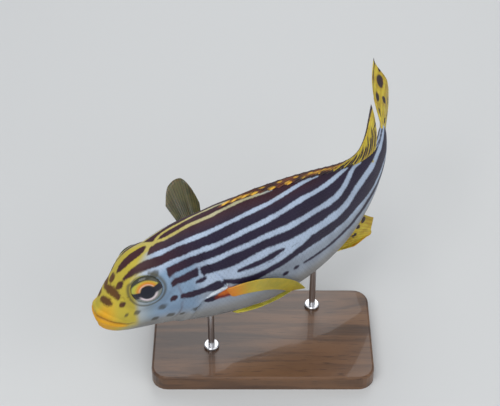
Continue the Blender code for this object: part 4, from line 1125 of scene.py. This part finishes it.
def bowed(root, control, tip, out):
    """World points of a fin whose rays bow from root to tip, drawn towards a control point."""
    out = out[..., None]
    grid = (1 - out) ** 2 * root + 2 * out * (1 - out) * control + out ** 2 * tip
    return placed(grid[..., 0], grid[..., 1], grid[..., 2])


def left_pectoral_shape(share, out):
    share, out = np.broadcast_arrays(share, out)
    root = flank_root(share, -1) + PECTORAL_SINK * root_sunk(out)[..., None]
    along = unit(np.array(FOLDED_TIP) - flank_root(np.array([0.5]), -1)[0])
    tip = np.array(FOLDED_TIP) - along * (FOLDED_TAPER * share ** 1.3)[..., None]
    control = np.array(FOLDED_CONTROL) + np.array(FOLDED_SPREAD) * (share - 0.42)[..., None]
    return bowed(root, control, tip, out)


def right_pectoral_shape(share, out):
    share, out = np.broadcast_arrays(share, out)
    root = flank_root(share, 1)
    middle = flank_root(np.linspace(0, 1, 9), 1).mean(0)
    swing = np.radians(between(*RAISED_SWING, share))
    length = through((0.0, 0.3, 0.6, 1.0), RAISED_LENGTH, share)
    low, crown, slope = RAISED_HEIGHT
    heading = np.stack([np.sin(swing), np.cos(swing), 0 * swing], -1)
    tip = middle + heading * length[..., None]
    tip[..., 2] = middle[2] + low + crown * np.sin(pi * share) + slope * share
    control = middle + heading * length[..., None] * 0.5
    control[..., 2] = root[..., 2] + RAISED_CONTROL
    return bowed(root - PECTORAL_SINK * root_sunk(out)[..., None], control, tip, out)


def near_mark(share, out):
    return {"mark": 0.0 * share * out, "tone": 1 - ease(0.02, 0.30, out + 0 * share)}


def far_mark(share, out):
    ray_line = 1 - ease(0.0, 0.40, between_rays(share, PECTORAL_RAYS))
    tone = 1 - ease(0.10, 0.45, out + 0 * share)
    return {"mark": 0.75 * ray_line * ease(0.08, 0.25, out), "tone": tone}


# The right fin gets darker olive copies of the left fin's yellows: painted shade, as it stands on the far
# side of the body.
near_finish = fin_finish("left_pectoral_paint", (0.50, 0.37, 0.030), (0.40, 0.32, 0.032), INK,
                         (0.72, 0.22, 0.014))
far_shaded_finish = fin_finish("right_pectoral_shaded_paint", (0.125, 0.120, 0.040), (0.085, 0.085, 0.035),
                        (0.024, 0.026, 0.012), (0.22, 0.19, 0.035))
for name, shape, finish, mark in (
        ("pectoral_fin_left", left_pectoral_shape, near_finish, near_mark),
        ("pectoral_fin_right", right_pectoral_shape, far_shaded_finish, far_mark)):
    for piece in cast_fin(name, shape, PECTORAL_RAYS, finish, mark, 0.0008, 0.45, tip=0.00025):
        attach(piece, "root")
        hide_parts(name)

# Belly fins, one spine and five soft rays each
PELVIC_RAYS = 6
PELVIC_ROOT = ((0.352, 0.026), (0.376, 0.013))
PELVIC_TIP = ((0.560, 0.016, -0.172), (0.529, 0.006, -0.172))
PELVIC_CONTROL = ((0.440, 0.020, -0.195), (0.440, 0.0096, -0.1966))


def pelvic_shape(side):
    mirror = np.array([1, side, 1])

    def shape(share, out):
        share, out = np.broadcast_arrays(share, out)
        (s0, y0), (s1, y1) = PELVIC_ROOT
        s = between(s0, s1, share)
        depth = belly_height(s) + 0.003 + 0.006 * root_sunk(out)
        root = np.stack([s, between(y0, y1, share), depth], -1) * mirror
        tip = between(*np.array(PELVIC_TIP) * mirror, share[..., None])
        control = between(*np.array(PELVIC_CONTROL) * mirror, share[..., None])
        return bowed(root, control, tip, out)
    return shape


def pelvic_mark(share, out):
    return {"mark": 0.0 * share * out, "tone": ease(0.90, 0.99, out + 0 * share) * (share < 0.4)}


pelvic_finish = fin_finish("pelvic_fin_paint", (0.66, 0.56, 0.045), (0.50, 0.42, 0.035), INK,
                           (0.75, 0.74, 0.62))
for side, name in ((-1, "pelvic_fin_left"), (1, "pelvic_fin_right")):
    shape = pelvic_shape(side)
    for piece in cast_fin(name, shape, PELVIC_RAYS, pelvic_finish, pelvic_mark, 0.0010, 0.45):
        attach(piece, "root")
        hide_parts(name)


# Stand. A turned-edge hardwood base, oiled dark, and two brushed steel rods screwed into it
# through small round feet. The rods carry the fish under the breast and before the anal fin.
wood, tree, shader = new_finish("oiled_hardwood", 0.38, Coat_Weight=0.25)
place = add_node(tree, "ShaderNodeTexCoord").outputs["Object"]
grain = stretched(tree, place, (3.0, 34.0, 34.0))
figure = band(tree, noise_node(tree, grain, 2.2, 6.0, 0.8), 0.34, 0.66)
pores = noise_node(tree, grain, 26.0, 3.0)
pore_dark = product(tree, band(tree, pores, 0.56, 0.72), 0.55)
tone = blend_colour(tree, figure, (0.050, 0.022, 0.010), (0.155, 0.072, 0.030))
tone = blend_colour(tree, pore_dark, tone, (0.022, 0.010, 0.006))
feed(tree, shader.inputs["Base Color"], tone)
relief(tree, shader, pores, 0.15, 0.0004)

steel, tree, shader = new_finish("brushed_steel", 0.28, Metallic=1.0)
place = add_node(tree, "ShaderNodeTexCoord").outputs["Object"]
brushing = noise_node(tree, stretched(tree, place, (900.0, 900.0, 40.0)), 1.0, 2.0)
grey = blend_colour(tree, brushing, (0.50, 0.50, 0.52), (0.66, 0.66, 0.67))
feed(tree, shader.inputs["Base Color"], grey)
relief(tree, shader, brushing, 0.12, 0.0002)
for node, finish in (("stand_base", wood), ("stand_rod_front", steel), ("stand_rod_rear", steel)):
    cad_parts[node].data.materials[0] = finish


# Floor and light. A pale floor under the stand and large soft lamps above and beside the fish,
# shown with the plain colour transform, so that the paint keeps its own colours.
bpy.context.scene.view_settings.view_transform = "Standard"
floor_paint = new_finish("pale_floor", 0.85, Base_Color=(0.62, 0.62, 0.61))[0]
floor_mesh = bpy.data.meshes.new("floor")
floor_mesh.from_pydata([(-6, -6, 0), (6, -6, 0), (6, 6, 0), (-6, 6, 0)], [], [(0, 1, 2, 3)])
floor_mesh.materials.append(floor_paint)
floor = bpy.data.objects.new("floor", floor_mesh)
bpy.context.collection.objects.link(floor)


def soft_lamp(name, power, size, location, tilt):
    """Square lamp, tilted from straight down by angles in degrees."""
    lamp_data = bpy.data.lights.new(name, "AREA")
    lamp_data.energy = power
    lamp_data.size = size
    lamp = bpy.data.objects.new(name, lamp_data)
    lamp.location = location
    lamp.rotation_euler = tuple(radians(angle) for angle in tilt)
    bpy.context.collection.objects.link(lamp)


soft_lamp("key_lamp", 16.0, 1.2, (-0.5, -0.9, 1.5), (30, -18, 0))
soft_lamp("fill_lamp", 7.0, 1.4, (1.3, -0.7, 0.9), (50, 45, 0))
soft_lamp("back_lamp", 8.0, 1.0, (0.1, 1.3, 1.2), (-48, 0, 0))
world = bpy.data.worlds.new("studio")
world.use_nodes = True
sky = world.node_tree.nodes["Background"]
sky.inputs["Color"].default_value = (0.80, 0.85, 0.92, 1.0)
sky.inputs["Strength"].default_value = 0.55
bpy.context.scene.world = world
